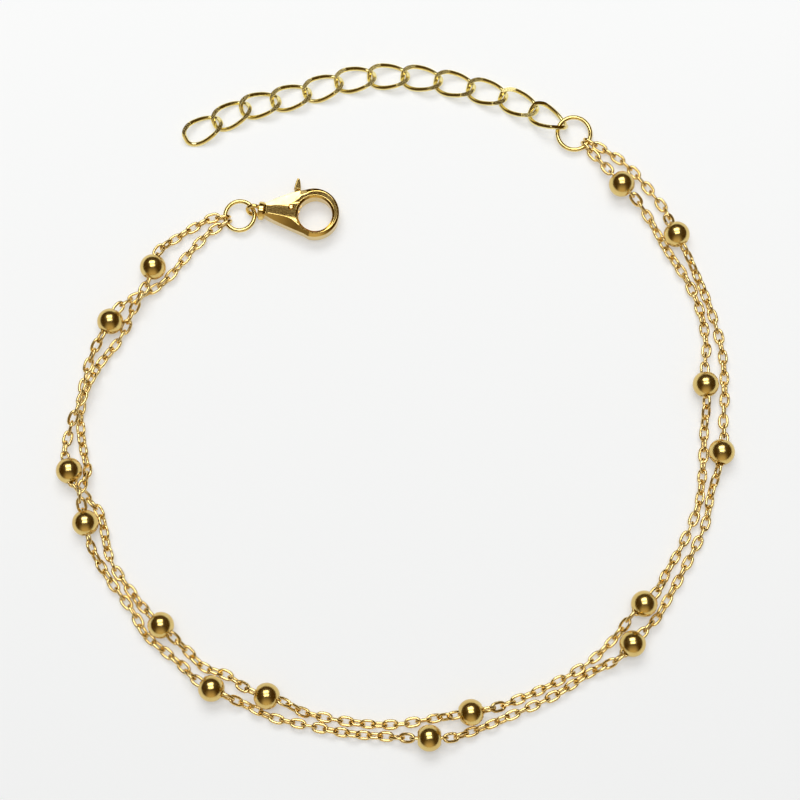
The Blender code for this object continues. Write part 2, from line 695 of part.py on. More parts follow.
def make_clasp_pin(material):
    """Rivet on which the lever turns."""
    mesh_object("clasp_pin", plug(PIN_RADIUS, PIN_SINK, CLASP_THICKNESS - PIN_SINK), material,
                clasp_place())


def centre_on_origin():
    """Moves every piece so that the origin is under the middle of the anklet."""
    for item in bpy.data.objects:
        item.location += Vector(CENTRE_SHIFT) * MM


def main():
    """Builds the anklet."""
    clear_scene()
    metals = {name: make_material(name) for name in FINISHES}
    make_clasp_body(metals["clasp_gold"])
    make_clasp_lever(metals["clasp_gold"])
    make_clasp_pin(metals["clasp_gold"])
    make_jump_rings(metals["extender_gold"])
    make_extender(metals["extender_gold"])
    make_beads(metals["bead_gold"])
    for name, route in (("a", ROUTE_A), ("b", ROUTE_B)):
        make_strand(name, route, metals["fine_chain_gold"])
        make_strand_end_links(name, metals["fine_chain_gold"])
    centre_on_origin()


main()
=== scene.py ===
"""Dressed model of a double chain anklet with ball beads, a lobster clasp and an extender chain.

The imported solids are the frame. Each class below is one sub-assembly, holds its sizes in millimetres
and builds finished pieces that stand for the solids: polished balls, fine cable chain with real links,
curb links with diamond-cut sides, jump rings and the clasp. The studio and the camera come last.
"""

from __future__ import annotations

import logging
import math
from dataclasses import dataclass, field
from enum import Enum
from typing import Iterable, Mapping, Optional, Sequence, Union

import bmesh
import bpy
from mathutils import Matrix, Vector


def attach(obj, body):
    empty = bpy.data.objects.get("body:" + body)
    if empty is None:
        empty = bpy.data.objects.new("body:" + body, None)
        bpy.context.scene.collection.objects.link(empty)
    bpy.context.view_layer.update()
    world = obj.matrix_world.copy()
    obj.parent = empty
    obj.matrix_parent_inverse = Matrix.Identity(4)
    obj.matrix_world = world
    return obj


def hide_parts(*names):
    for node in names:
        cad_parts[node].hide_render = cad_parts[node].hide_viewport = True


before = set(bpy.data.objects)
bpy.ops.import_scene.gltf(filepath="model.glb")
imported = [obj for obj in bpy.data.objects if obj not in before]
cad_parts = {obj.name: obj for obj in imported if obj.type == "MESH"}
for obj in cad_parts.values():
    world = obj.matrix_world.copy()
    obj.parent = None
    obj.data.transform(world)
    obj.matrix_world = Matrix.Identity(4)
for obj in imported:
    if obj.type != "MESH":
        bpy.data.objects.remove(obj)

LOG = logging.getLogger("anklet")
MM = 0.001
CENTRE_SHIFT = Vector((0.586, -0.023, 0.0))
UP = Vector((0.0, 0.0, 1.0))
LEAD_WITHIN = math.cos(math.radians(50.0))  # a face leads only faces turned less than this from it
LOW = 0.58  # height in the routes' tables where a strand lies on the table
Point = tuple[float, float]
Triple = tuple[float, float, float]
Stop = Union[int, Triple]


class Body(Enum):
    """Rigid bodies that a piece can ride on."""

    ANKLET = "anklet"
    LEVER = "lever"


class Slot(Enum):
    """Material slots of the record."""

    BEADS = "bead_gold"
    FINE_CHAIN = "fine_chain_gold"
    EXTENDER = "extender_gold"
    CLASP = "clasp_gold"


class Strand(Enum):
    """The two runs of fine chain."""

    A = "a"
    B = "b"


class RingSite(Enum):
    """Where a jump ring sits."""

    CLASP = "clasp"
    EXTENDER = "extender"


def heading_vector(degrees: float) -> Vector:
    """Level unit vector at an angle from +X."""
    return Vector((math.cos(math.radians(degrees)), math.sin(math.radians(degrees)), 0.0))


def placed(x: float, y: float, z: float, heading: float = 0.0, roll: float = 0.0,
           climb: float = 0.0) -> Matrix:
    """Matrix of a piece in millimetres.

    Args:
        x, y, z: Its place in the tables' frame.
        heading: Turn about Z, in degrees.
        roll: Turn about its own length, in degrees.
        climb: Tip upwards of its own +X, in degrees.

    Returns:
        The matrix, without the shift to the part's origin.
    """
    turn = Matrix.Rotation(math.radians(heading), 4, "Z")
    lift = Matrix.Rotation(math.radians(-climb), 4, "Y")
    tip = Matrix.Rotation(math.radians(roll), 4, "X")
    return Matrix.Translation((x, y, z)) @ turn @ lift @ tip


def arc(x: float, y: float, radius: float, start: float, end: float, steps: int) -> list[Point]:
    """Points on an arc, both ends included.

    Args:
        x, y: Centre.
        radius: Radius.
        start, end: Angles in degrees.
        steps: Number of stretches.

    Returns:
        The points in order.
    """
    angles = [math.radians(start + (end - start) * i / steps) for i in range(steps + 1)]
    return [(x + radius * math.cos(a), y + radius * math.sin(a)) for a in angles]


def bridge(bm: bmesh.types.BMesh, loop_a: Sequence, loop_b: Sequence) -> None:
    """Joins two closed loops of vertices with quads.

    Args:
        bm: Shape that the vertices are in.
        loop_a, loop_b: Loops of the same length.
    """
    count = len(loop_a)
    for i in range(count):
        j = (i + 1) % count
        bm.faces.new((loop_a[i], loop_a[j], loop_b[j], loop_b[i]))


def turned(profile: Sequence[Point], sides: int, closed: bool) -> bmesh.types.BMesh:
    """Shape turned about X.

    Args:
        profile: Points as (x, radius).
        sides: Steps of the full turn.
        closed: True if the profile comes back to its first point, as on a ball with a hole.

    Returns:
        The shape, capped flat at both ends where the profile is open.
    """
    bm = bmesh.new()
    turns = [2 * math.pi * k / sides for k in range(sides)]
    loops = []
    for x, radius in profile:
        loops.append([bm.verts.new((x, radius * math.cos(t), radius * math.sin(t))) for t in turns])
    for loop_a, loop_b in zip(loops, loops[1:]):
        bridge(bm, loop_a, loop_b)
    if closed:
        bridge(bm, loops[-1], loops[0])
    else:
        bm.faces.new(loops[0])
        bm.faces.new(loops[-1])
    return bm


def add_object(name: str, data: bpy.types.ID) -> bpy.types.Object:
    """Adds an object to the scene and returns it."""
    item = bpy.data.objects.new(name, data)
    bpy.context.scene.collection.objects.link(item)
    return item


def applied(item: bpy.types.Object) -> bpy.types.Mesh:
    """Plain mesh of an object with its modifiers applied."""
    return bpy.data.meshes.new_from_object(item.evaluated_get(bpy.context.evaluated_depsgraph_get()))


def discard(item: bpy.types.Object) -> None:
    """Removes an object and its mesh."""
    mesh = item.data
    bpy.data.objects.remove(item, do_unlink=True)
    bpy.data.meshes.remove(mesh)


def add_node(tree: bpy.types.NodeTree, kind: str, inputs: Mapping[Union[int, str], object],
             **settings: object) -> bpy.types.Node:
    """Adds a node to a tree of any kind.

    Args:
        tree: The tree.
        kind: Type of the node.
        inputs: What goes into its sockets by name or number: a socket to link or a value.
        settings: Properties of the node.

    Returns:
        The node.
    """
    node = tree.nodes.new(kind)
    for key, value in settings.items():
        setattr(node, key, value)
    for key, value in inputs.items():
        if isinstance(value, bpy.types.NodeSocket):
            tree.links.new(value, node.inputs[key])
        else:
            node.inputs[key].default_value = value
    return node


def add_ramp(tree: bpy.types.NodeTree, share: bpy.types.NodeSocket,
             stops: Sequence[tuple[float, Sequence[float]]]) -> bpy.types.NodeSocket:
    """Adds a colour ramp of two stops.

    Args:
        tree: The tree.
        share: What runs along the ramp.
        stops: Place and colour of both stops.

    Returns:
        The ramp's colour.
    """
    ramp = add_node(tree, "ShaderNodeValToRGB", {"Fac": share})
    for element, (position, colour) in zip(ramp.color_ramp.elements, stops):
        element.position = position
        element.color = (*colour, 1.0)
    return ramp.outputs["Color"]


def lead_by_area(mesh: bpy.types.Mesh) -> None:
    """Lets the largest face at each point lead its shading, so that facets mirror as flats.

    Args:
        mesh: Mesh with its smooth faces and sharp edges set; faces across a sharp edge don't count.
    """
    bm = bmesh.new()
    bm.from_mesh(mesh)
    bm.faces.ensure_lookup_table()
    starts = [polygon.loop_start for polygon in mesh.polygons]
    normals = [UP] * len(mesh.loops)
    for vertex in bm.verts:
        left = list(vertex.link_faces)
        while left:
            group = [left.pop(0)]
            for face in group:
                for edge in face.edges:
                    if edge.smooth and vertex in edge.verts:
                        near = [other for other in edge.link_faces if other in left]
                        left = [other for other in left if other not in near]
                        group += near
            for face in group:
                lead = Vector((0.0, 0.0, 0.0))
                for other in group:
                    if face.normal.dot(other.normal) > LEAD_WITHIN:
                        lead += other.normal * (other.calc_area() / MM ** 2) ** 2
                lead = lead.normalized() if lead.length > 0.0 else face.normal.copy()
                for k, loop in enumerate(face.loops):
                    if loop.vert == vertex:
                        normals[starts[face.index] + k] = lead
    bm.free()
    mesh.normals_split_custom_set(normals)


def finish_piece(name: str, mesh: bpy.types.Mesh, material: bpy.types.Material, body: Body,
                 nodes: Iterable[str], sharp_from: float = 32.0, by_area: bool = False) -> bpy.types.Object:
    """Turns a mesh that already lies in its place into a piece of the dressed model.

    Args:
        name: Name of the piece.
        mesh: Mesh in metres in the part's frame.
        material: Its finish.
        body: Body it rides on.
        nodes: Solids it stands for.
        sharp_from: Angle in degrees from which an edge is shaded sharp.
        by_area: True if its large facets lead the shading.

    Returns:
        The piece.
    """
    if not mesh.materials:
        mesh.materials.append(material)
    mesh.shade_smooth()
    mesh.set_sharp_from_angle(angle=math.radians(sharp_from))
    if by_area:
        lead_by_area(mesh)
    piece = add_object(name, mesh)
    mesh.name = name
    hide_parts(*nodes)
    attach(piece, body.value)
    LOG.info("%s: %d faces", name, len(mesh.polygons))
    return piece


def to_mesh(name: str, bm: bmesh.types.BMesh, place: Matrix = Matrix()) -> bpy.types.Mesh:
    """Mesh in metres, in the part's frame.

    Args:
        name: Name of the mesh.
        bm: Shape in millimetres; it is freed.
        place: Its place in the tables' frame, in millimetres.

    Returns:
        The mesh with its faces pointing out.
    """
    bmesh.ops.recalc_face_normals(bm, faces=bm.faces)
    bm.transform(Matrix.Scale(MM, 4) @ Matrix.Translation(CENTRE_SHIFT) @ place)
    mesh = bpy.data.meshes.new(name)
    bm.to_mesh(mesh)
    bm.free()
    return mesh


@dataclass(frozen=True)
class GoldFinish:
    """Polished gold plate.

    The colour drifts a little between a bright and a deep tone, and the polish has faint clouds and
    marks far finer than the wire. Faces with the attribute "cut" are diamond-cut flats and mirror more.
    """

    name: str
    bright: Triple
    deep: Triple
    roughness: tuple[float, float]
    cut_roughness: Optional[float] = None
    tone_span: tuple[float, float] = (0.35, 0.62)
    cloud_size: float = 1.6
    cloud_detail: float = 3.0
    mark_size: float = 0.10
    mark_detail: float = 4.0
    mark_depth: float = 0.12
    bump_distance: float = 0.01

    def build(self) -> bpy.types.Material:
        """Makes the finish.

        Returns:
            The material.
        """
        material = bpy.data.materials.new(self.name)
        material.use_nodes = True
        tree = material.node_tree
        shader = tree.nodes["Principled BSDF"]
        shader.inputs["Metallic"].default_value = 1.0
        place = add_node(tree, "ShaderNodeTexCoord", {}).outputs["Object"]
        clouds = add_node(tree, "ShaderNodeTexNoise", {
            "Vector": place, "Scale": 1.0 / (self.cloud_size * MM), "Detail": self.cloud_detail})
        share = clouds.outputs["Fac"]
        tone = add_ramp(tree, share, list(zip(self.tone_span, (self.deep, self.bright))))
        tree.links.new(tone, shader.inputs["Base Color"])

        polish = add_node(tree, "ShaderNodeMapRange", {
            "Value": share, "To Min": self.roughness[0], "To Max": self.roughness[1]})
        if self.cut_roughness is not None:
            cut = add_node(tree, "ShaderNodeAttribute", {}, attribute_name="cut")
            polish = add_node(tree, "ShaderNodeMix", {
                "Factor": cut.outputs["Fac"], "A": polish.outputs["Result"], "B": self.cut_roughness})
        tree.links.new(polish.outputs["Result"], shader.inputs["Roughness"])

        marks = add_node(tree, "ShaderNodeTexNoise", {
            "Vector": place, "Scale": 1.0 / (self.mark_size * MM), "Detail": self.mark_detail})
        bump = add_node(tree, "ShaderNodeBump", {
            "Height": marks.outputs["Fac"], "Strength": self.mark_depth,
            "Distance": self.bump_distance * MM})
        tree.links.new(bump.outputs["Normal"], shader.inputs["Normal"])
        return material


BEAD_GOLD = GoldFinish(
    "bead_gold_polished", bright=(0.74, 0.56, 0.20), deep=(0.69, 0.49, 0.16), roughness=(0.19, 0.24),
    mark_depth=0.04)
CHAIN_GOLD = GoldFinish(
    "fine_chain_gold_polished", bright=(0.95, 0.74, 0.33), deep=(0.88, 0.65, 0.26), roughness=(0.14, 0.22))
EXTENDER_GOLD = GoldFinish(
    "extender_gold_polished", bright=(0.93, 0.81, 0.37), deep=(0.88, 0.74, 0.30), roughness=(0.14, 0.20),
    cut_roughness=0.08, mark_depth=0.02)
RING_GOLD = GoldFinish(
    "jump_ring_gold_polished", bright=(0.84, 0.67, 0.26), deep=(0.78, 0.60, 0.21), roughness=(0.12, 0.19))
CLASP_GOLD = GoldFinish(
    "clasp_gold_polished", bright=(0.84, 0.63, 0.23), deep=(0.77, 0.55, 0.17), roughness=(0.09, 0.13),
    mark_depth=0.02)


class NodeNet:
    """Adds nodes to a Geometry Nodes tree and links them."""

    def __init__(self, name: str, inputs: Sequence[tuple[str, str]]) -> None:
        """Starts a tree.

        Args:
            name: Name of the tree.
            inputs: Name and socket type of each input after the geometry.
        """
        self.tree = bpy.data.node_groups.new(name, "GeometryNodeTree")
        self.tree.interface.new_socket("Geometry", in_out="INPUT", socket_type="NodeSocketGeometry")
        for label, kind in inputs:
            self.tree.interface.new_socket(label, in_out="INPUT", socket_type=kind)
        self.tree.interface.new_socket("Geometry", in_out="OUTPUT", socket_type="NodeSocketGeometry")
        self.given = self.tree.nodes.new("NodeGroupInput").outputs

    def add(self, kind: str, inputs: Mapping[Union[int, str], object], **settings: object) -> bpy.types.Node:
        """Adds a node as add_node does."""
        return add_node(self.tree, kind, inputs, **settings)

    def math(self, operation: str, *values: object, clamp: bool = False) -> bpy.types.NodeSocket:
        """Adds a Math node and returns its result."""
        node = self.add("ShaderNodeMath", dict(enumerate(values)), operation=operation, use_clamp=clamp)
        return node.outputs[0]

    def close(self, geometry: bpy.types.NodeSocket) -> None:
        """Realizes the instances, sets the finish and ends the tree.

        Args:
            geometry: What the tree has made.
        """
        real = self.add("GeometryNodeRealizeInstances", {"Geometry": geometry})
        dressed = self.add("GeometryNodeSetMaterial", {
            "Geometry": real.outputs[0], "Material": self.given["Finish"]})
        self.add("NodeGroupOutput", {"Geometry": dressed.outputs[0]})

    def run(self, name: str, start: bpy.types.Mesh, values: Mapping[str, object]) -> bpy.types.Mesh:
        """Runs the tree on a mesh.

        Args:
            name: Name of the result.
            start: Mesh that goes in; it is removed afterwards.
            values: Value of each input by its name.

        Returns:
            The result as a plain mesh with its faces pointing out.
        """
        item = add_object(name + "_maker", start)
        step = item.modifiers.new("maker", "NODES")
        step.node_group = self.tree
        for socket in self.tree.interface.items_tree:
            if socket.in_out == "INPUT" and socket.name in values:
                step[socket.identifier] = values[socket.name]
        made = applied(item)
        item.modifiers.remove(step)
        discard(item)
        made.name = name
        bm = bmesh.new()
        bm.from_mesh(made)
        bmesh.ops.recalc_face_normals(bm, faces=bm.faces)
        bm.to_mesh(made)
        bm.free()
        return made


LINK_SIZES = [("Link Length", "NodeSocketFloat"), ("Link Width", "NodeSocketFloat"),
              ("Wire", "NodeSocketFloat"), ("Roundness", "NodeSocketFloat")]


def add_oval_wire(net: NodeNet, sides: int, wire_sides: int) -> bpy.types.NodeSocket:
    """Adds the nodes of an oval link of round wire, its long way along X.

    Args:
        net: Tree with the inputs Link Length, Link Width, Wire and Roundness.
        sides: Steps round the oval.
        wire_sides: Steps round the wire.

    Returns:
        The link's mesh.
    """
    circle = net.add("GeometryNodeCurvePrimitiveCircle", {"Resolution": sides, "Radius": 1.0},
                     mode="RADIUS")
    where = net.add("ShaderNodeSeparateXYZ", {0: net.add("GeometryNodeInputPosition", {}).outputs[0]})
    power = net.math("DIVIDE", 2.0, net.given["Roundness"])
    halves = []
    for axis, size in ((0, "Link Length"), (1, "Link Width")):
        reach = net.math("MULTIPLY", net.math("SUBTRACT", net.given[size], net.given["Wire"]), 0.5)
        way = net.math("SIGN", where.outputs[axis])
        bent = net.math("POWER", net.math("ABSOLUTE", where.outputs[axis]), power)
        halves.append(net.math("MULTIPLY", net.math("MULTIPLY", bent, way), reach))
    spot = net.add("ShaderNodeCombineXYZ", {0: halves[0], 1: halves[1]})
    oval = net.add("GeometryNodeSetPosition", {"Geometry": circle.outputs[0], "Position": spot.outputs[0]})
    thin = net.math("MULTIPLY", net.given["Wire"], 0.5)
    section = net.add("GeometryNodeCurvePrimitiveCircle", {"Resolution": wire_sides, "Radius": thin},
                      mode="RADIUS")
    wire = net.add("GeometryNodeCurveToMesh", {
        "Curve": oval.outputs[0], "Profile Curve": section.outputs[0]})
    return wire.outputs[0]


DRIFT_ONSET = 14.0  # how fast a strand's roll sets in from its two ends


def cable_chain_net() -> NodeNet:
    """Tree that hangs links one in the next along a path, each a quarter turn from its neighbour.

    Returns:
        The tree. Besides the sizes it takes the number of links, how far the chain's roll swings and
        in how many waves, and a small unevenness with its seed. Both ends stand on edge.
    """
    net = NodeNet("cable_chain", LINK_SIZES + [
        ("Links", "NodeSocketInt"), ("Roll Swing", "NodeSocketFloat"), ("Roll Waves", "NodeSocketFloat"),
        ("Unevenness", "NodeSocketFloat"), ("Seed", "NodeSocketInt"), ("Finish", "NodeSocketMaterial")])
    link = add_oval_wire(net, sides=14, wire_sides=6)
    path = net.add("GeometryNodeMeshToCurve", {"Mesh": net.given["Geometry"]})
    spots = net.add("GeometryNodeResampleCurve", {"Curve": path.outputs[0], "Count": net.given["Links"]})
    along = net.add("ShaderNodeSeparateXYZ", {0: net.add("GeometryNodeInputTangent", {}).outputs[0]})
    heading = net.math("ARCTAN2", along.outputs[1], along.outputs[0])
    dip = net.math("MULTIPLY", net.math("ARCSINE", along.outputs[2]), -1.0)

    index = net.add("GeometryNodeInputIndex", {}).outputs[0]
    last = net.math("SUBTRACT", net.given["Links"], 1.0)
    share = net.math("DIVIDE", index, last)
    even = net.math("SUBTRACT", 1.0, net.math("MODULO", index, 2.0))
    on_edge = net.math("MULTIPLY", even, 0.5 * math.pi)
    from_ends = net.math("MULTIPLY", share, net.math("SUBTRACT", 1.0, share))
    inner = net.math("MULTIPLY", from_ends, DRIFT_ONSET, clamp=True)
    turns = net.math("MULTIPLY", net.math("MULTIPLY", share, net.given["Roll Waves"]), 2 * math.pi)
    swing = net.math("MULTIPLY", net.math("SINE", turns), net.given["Roll Swing"])
    chance = net.add("FunctionNodeRandomValue", {2: -1.0, 3: 1.0, "ID": index, "Seed": net.given["Seed"]},
                     data_type="FLOAT")
    uneven = net.math("MULTIPLY", chance.outputs[1], net.given["Unevenness"])
    drift = net.math("MULTIPLY", net.math("ADD", swing, uneven), inner)
    roll = net.math("ADD", on_edge, drift)

    angles = net.add("ShaderNodeCombineXYZ", {0: roll, 1: dip, 2: heading})
    turn = net.add("FunctionNodeEulerToRotation", {0: angles.outputs[0]})
    hung = net.add("GeometryNodeInstanceOnPoints",
                   {"Points": spots.outputs[0], "Instance": link, "Rotation": turn.outputs[0]})
    net.close(hung.outputs[0])
    return net


LEVEL_FROM = 0.9995  # a face whose normal stands at least this upright is a cut flat


def curb_link_net() -> NodeNet:
    """Tree for one curb link: an oval of wire, twisted about its length, its two high sides cut flat.

    Returns:
        The tree. Besides the sizes it takes the twist from the middle to an end, the half thickness
        that the cut leaves, and the link's place and turn.
    """
    net = NodeNet("curb_link", LINK_SIZES + [
        ("Twist", "NodeSocketFloat"), ("Half Thickness", "NodeSocketFloat"), ("Place", "NodeSocketVector"),
        ("Turn", "NodeSocketRotation"), ("Finish", "NodeSocketMaterial")])
    wire = add_oval_wire(net, sides=72, wire_sides=20)
    spot = net.add("GeometryNodeInputPosition", {}).outputs[0]
    where = net.add("ShaderNodeSeparateXYZ", {0: spot})
    half = net.math("MULTIPLY", net.math("SUBTRACT", net.given["Link Length"], net.given["Wire"]), 0.5)
    share = net.math("DIVIDE", where.outputs[0], half)
    kept = net.math("MAXIMUM", net.math("MINIMUM", share, 1.0), -1.0)
    angle = net.math("MULTIPLY", kept, net.math("MULTIPLY", net.given["Twist"], -1.0))
    turned_spot = net.add("ShaderNodeVectorRotate", {"Vector": spot, "Angle": angle},
                          rotation_type="X_AXIS")
    twisted = net.add("GeometryNodeSetPosition", {"Geometry": wire, "Position": turned_spot.outputs[0]})
    deep = net.math("MULTIPLY", net.given["Half Thickness"], 2.0)
    wide = net.math("MULTIPLY", net.given["Link Length"], 2.0)
    box = net.add("ShaderNodeCombineXYZ", {0: wide, 1: wide, 2: deep})
    slab = net.add("GeometryNodeMeshCube", {"Size": box.outputs[0]})
    cut = net.add("GeometryNodeMeshBoolean", {}, operation="INTERSECT", solver="EXACT")
    solids = cut.inputs["Mesh"] if "Mesh" in cut.inputs else cut.inputs[1]
    net.tree.links.new(slab.outputs[0], solids)
    net.tree.links.new(twisted.outputs[0], solids)
    up = net.add("ShaderNodeSeparateXYZ", {0: net.add("GeometryNodeInputNormal", {}).outputs[0]})
    flat = net.math("GREATER_THAN", net.math("ABSOLUTE", up.outputs[2]), LEVEL_FROM)
    marked = net.add("GeometryNodeStoreNamedAttribute", {
        "Geometry": cut.outputs[0], "Name": "cut", "Value": flat}, data_type="FLOAT", domain="FACE")
    laid = net.add("GeometryNodeTransform", {
        "Geometry": marked.outputs[0], "Translation": net.given["Place"], "Rotation": net.given["Turn"]})
    net.close(laid.outputs[0])
    return net


@dataclass
class JumpRing:
    """Round ring of wire with a closed butt joint, leaning on what it joins."""

    site: RingSite
    x: float
    y: float
    low: float
    high: float
    high_side: float
    diameter: float
    joint_at: float
    wire: float = 0.6
    joint_gap: float = 0.4
    steps: int = 72
    wire_sides: int = 16

    @property
    def radius(self) -> float:
        """Radius of the wire's middle line."""
        return 0.5 * (self.diameter - self.wire)

    @property
    def place(self) -> Matrix:
        """Matrix of the ring in the tables' frame, in millimetres."""
        lean = math.asin((self.high - self.low) / (2 * self.radius))
        turn = Matrix.Rotation(math.radians(self.high_side), 4, "Z")
        tip = Matrix.Rotation(-lean, 4, "Y")
        return Matrix.Translation((self.x, self.y, 0.5 * (self.low + self.high))) @ turn @ tip

    def shape(self) -> bmesh.types.BMesh:
        """Bends the wire to a ring.

        Returns:
            The ring, its two cut ends facing each other across a hair-fine gap.
        """
        bm = bmesh.new()
        sections = []
        start = self.joint_at - self.high_side + 0.5 * self.joint_gap
        for i in range(self.steps + 1):
            out = heading_vector(start + (360.0 - self.joint_gap) * i / self.steps)
            section = []
            for k in range(self.wire_sides):
                angle = 2 * math.pi * k / self.wire_sides
                offset = out * math.cos(angle) + UP * math.sin(angle)
                section.append(bm.verts.new(out * self.radius + offset * 0.5 * self.wire))
            sections.append(section)
        for section_a, section_b in zip(sections, sections[1:]):
            bridge(bm, section_a, section_b)
        bm.faces.new(sections[0])
        bm.faces.new(sections[-1])
        return bm

    def build(self, material: bpy.types.Material) -> None:
        """Makes the ring.

        Args:
            material: Its finish.
        """
        name = self.site.value + "_jump_ring"
        mesh = to_mesh(name + "_wire", self.shape(), self.place)
        finish_piece(name + "_wire", mesh, material, Body.ANKLET, [name])


@dataclass
class BallBeads:
    """Polished balls with a drilled and broken-edged hole, threaded on the strands."""

    spots: dict[int, Triple]
    diameter: float = 3.5
    hole: float = 1.5
    rim_round: float = 0.12
    rim_soft: Point = (0.30, 0.28)
    straight_run: float = 0.3
    roll_step: float = 7.5
    sharp_from: float = 50.0
    bands: int = 28
    sides: int = 48

    @property
    def run(self) -> float:
        """Distance from a bead's middle to where the strand may start to bend."""
        return 0.5 * self.diameter + self.straight_run

    def profile(self) -> list[Point]:
        """Draws a bead's section.

        Returns:
            Points from one end of the hole over the ball and back through the hole.
        """
        radius = 0.5 * self.diameter
        hole = 0.5 * self.hole
        rim = math.asin((hole + self.rim_round) / radius)
        over = [rim + (math.pi - 2 * rim) * i / self.bands for i in range(self.bands + 1)]
        points = [(-radius * math.cos(a), radius * math.sin(a)) for a in over]
        end = radius * math.cos(rim)
        back, out = self.rim_soft
        soft = [(end - back * self.rim_round, hole + out * self.rim_round), (end - self.rim_round, hole)]
        points += soft + [(-x, r) for x, r in reversed(soft)]
        return points

    def build(self, material: bpy.types.Material) -> None:
        """Makes each bead.

        Args:
            material: Finish of the beads.
        """
        for number, (x, y, heading) in self.spots.items():
            bm = turned(self.profile(), self.sides, closed=True)
            name = "ball_bead_%02d" % number
            place = placed(x, y, 0.5 * self.diameter, heading, roll=self.roll_step * number)
            finish_piece(name, to_mesh(name, bm, place), material, Body.ANKLET,
                         ["bead_%02d" % number], self.sharp_from)


@dataclass
class FineChain:
    """One run of fine cable chain from the extender's ring to the clasp's ring."""

    strand: Strand
    stops: Sequence[Stop]
    beads: BallBeads
    rings: Mapping[RingSite, JumpRing]
    exits: Mapping[RingSite, float]
    roll_swing: float
    roll_waves: float
    seed: int
    length: float = 2.3
    width: float = 1.48
    wire: float = 0.42
    roundness: float = 2.5
    height: float = 0.75
    pitch: float = 1.44
    hang_play: float = 0.14
    end_play: float = 0.04
    lift: float = 0.18
    lift_growth: float = 0.5
    unevenness: float = 0.16
    step: float = 0.35
    sharp_from: float = 75.0

    def hang(self, site: RingSite) -> tuple[Vector, Vector, Vector]:
        """Where the strand hangs on a ring.

        Args:
            site: Which ring.

        Returns:
            Middle of the end link, the point where the strand is free, and its direction there.
        """
        ring = self.rings[site]
        out = heading_vector(self.exits[site])
        reach = ring.radius - 0.5 * ring.wire - self.hang_play - self.wire + 0.5 * self.length
        middle = Vector((ring.x, ring.y, self.height))
        return middle + out * reach, middle + out * (reach + 0.5 * self.length + self.end_play), out

    def knots(self) -> list[tuple[Vector, Vector]]:
        """Fills in the route's table.

        Returns:
            Points and directions of the route, straight through each bead.
        """
        first, start, start_way = self.hang(RingSite.EXTENDER)
        last, end, end_way = self.hang(RingSite.CLASP)
        rows: list[tuple[Vector, Optional[Vector]]] = [(first, start_way), (start, start_way)]
        for stop in self.stops:
            if isinstance(stop, int):
                x, y, heading = self.beads.spots[stop]
                way = heading_vector(heading)
                centre = Vector((x, y, 0.5 * self.beads.diameter))
                rows += [(centre - way * self.beads.run, way), (centre + way * self.beads.run, way)]
            else:
                lift = self.lift * (1.0 + self.lift_growth * (stop[2] - LOW))
                rows.append((Vector(stop) + UP * lift, None))
        rows += [(end, -end_way), (last, -end_way)]
        filled = []
        for i, (point, way) in enumerate(rows):
            if way is None:
                way = rows[i + 1][0] - rows[i - 1][0]
                way.z = 0.0
                way.normalize()
            filled.append((point, way))
        return filled

    def route(self) -> list[Vector]:
        """Draws the smooth curve through the knots.

        Returns:
            Close-set points of it.
        """
        knots = self.knots()
        points = [knots[0][0]]
        for (point_a, way_a), (point_b, way_b) in zip(knots, knots[1:]):
            span = (point_b - point_a).length
            pieces = max(1, round(span / self.step))
            for i in range(1, pieces + 1):
                s = i / pieces
                s2, s3 = s * s, s * s * s
                points.append(point_a * (2 * s3 - 3 * s2 + 1) + way_a * span * (s3 - 2 * s2 + s)
                              + point_b * (3 * s2 - 2 * s3) + way_b * span * (s3 - s2))
        return points

    def build(self, net: NodeNet, material: bpy.types.Material) -> None:
        """Makes the strand.

        Args:
            net: Tree that hangs the links along a path.
            material: Finish of the links.
        """
        points = self.route()
        total = sum((b - a).length for a, b in zip(points, points[1:]))
        links = 2 * round(0.5 * total / self.pitch) + 1
        path = bpy.data.meshes.new("route_" + self.strand.value)
        path.from_pydata([(p + CENTRE_SHIFT) * MM for p in points],
                         [(i, i + 1) for i in range(len(points) - 1)], [])
        name = "fine_chain_" + self.strand.value
        mesh = net.run(name, path, {
            "Link Length": self.length * MM, "Link Width": self.width * MM, "Wire": self.wire * MM,
            "Roundness": self.roundness, "Links": links, "Roll Swing": self.roll_swing,
            "Roll Waves": self.roll_waves, "Unevenness": self.unevenness, "Seed": self.seed,
            "Finish": material})
        node = "strand_" + self.strand.value
        finish_piece(name, mesh, material, Body.ANKLET,
                     [node, node + "_extender_link", node + "_clasp_link"], self.sharp_from)
        LOG.info("%s: %.1f mm in %d links, one each %.3f mm", name, total, links, total / (links - 1))


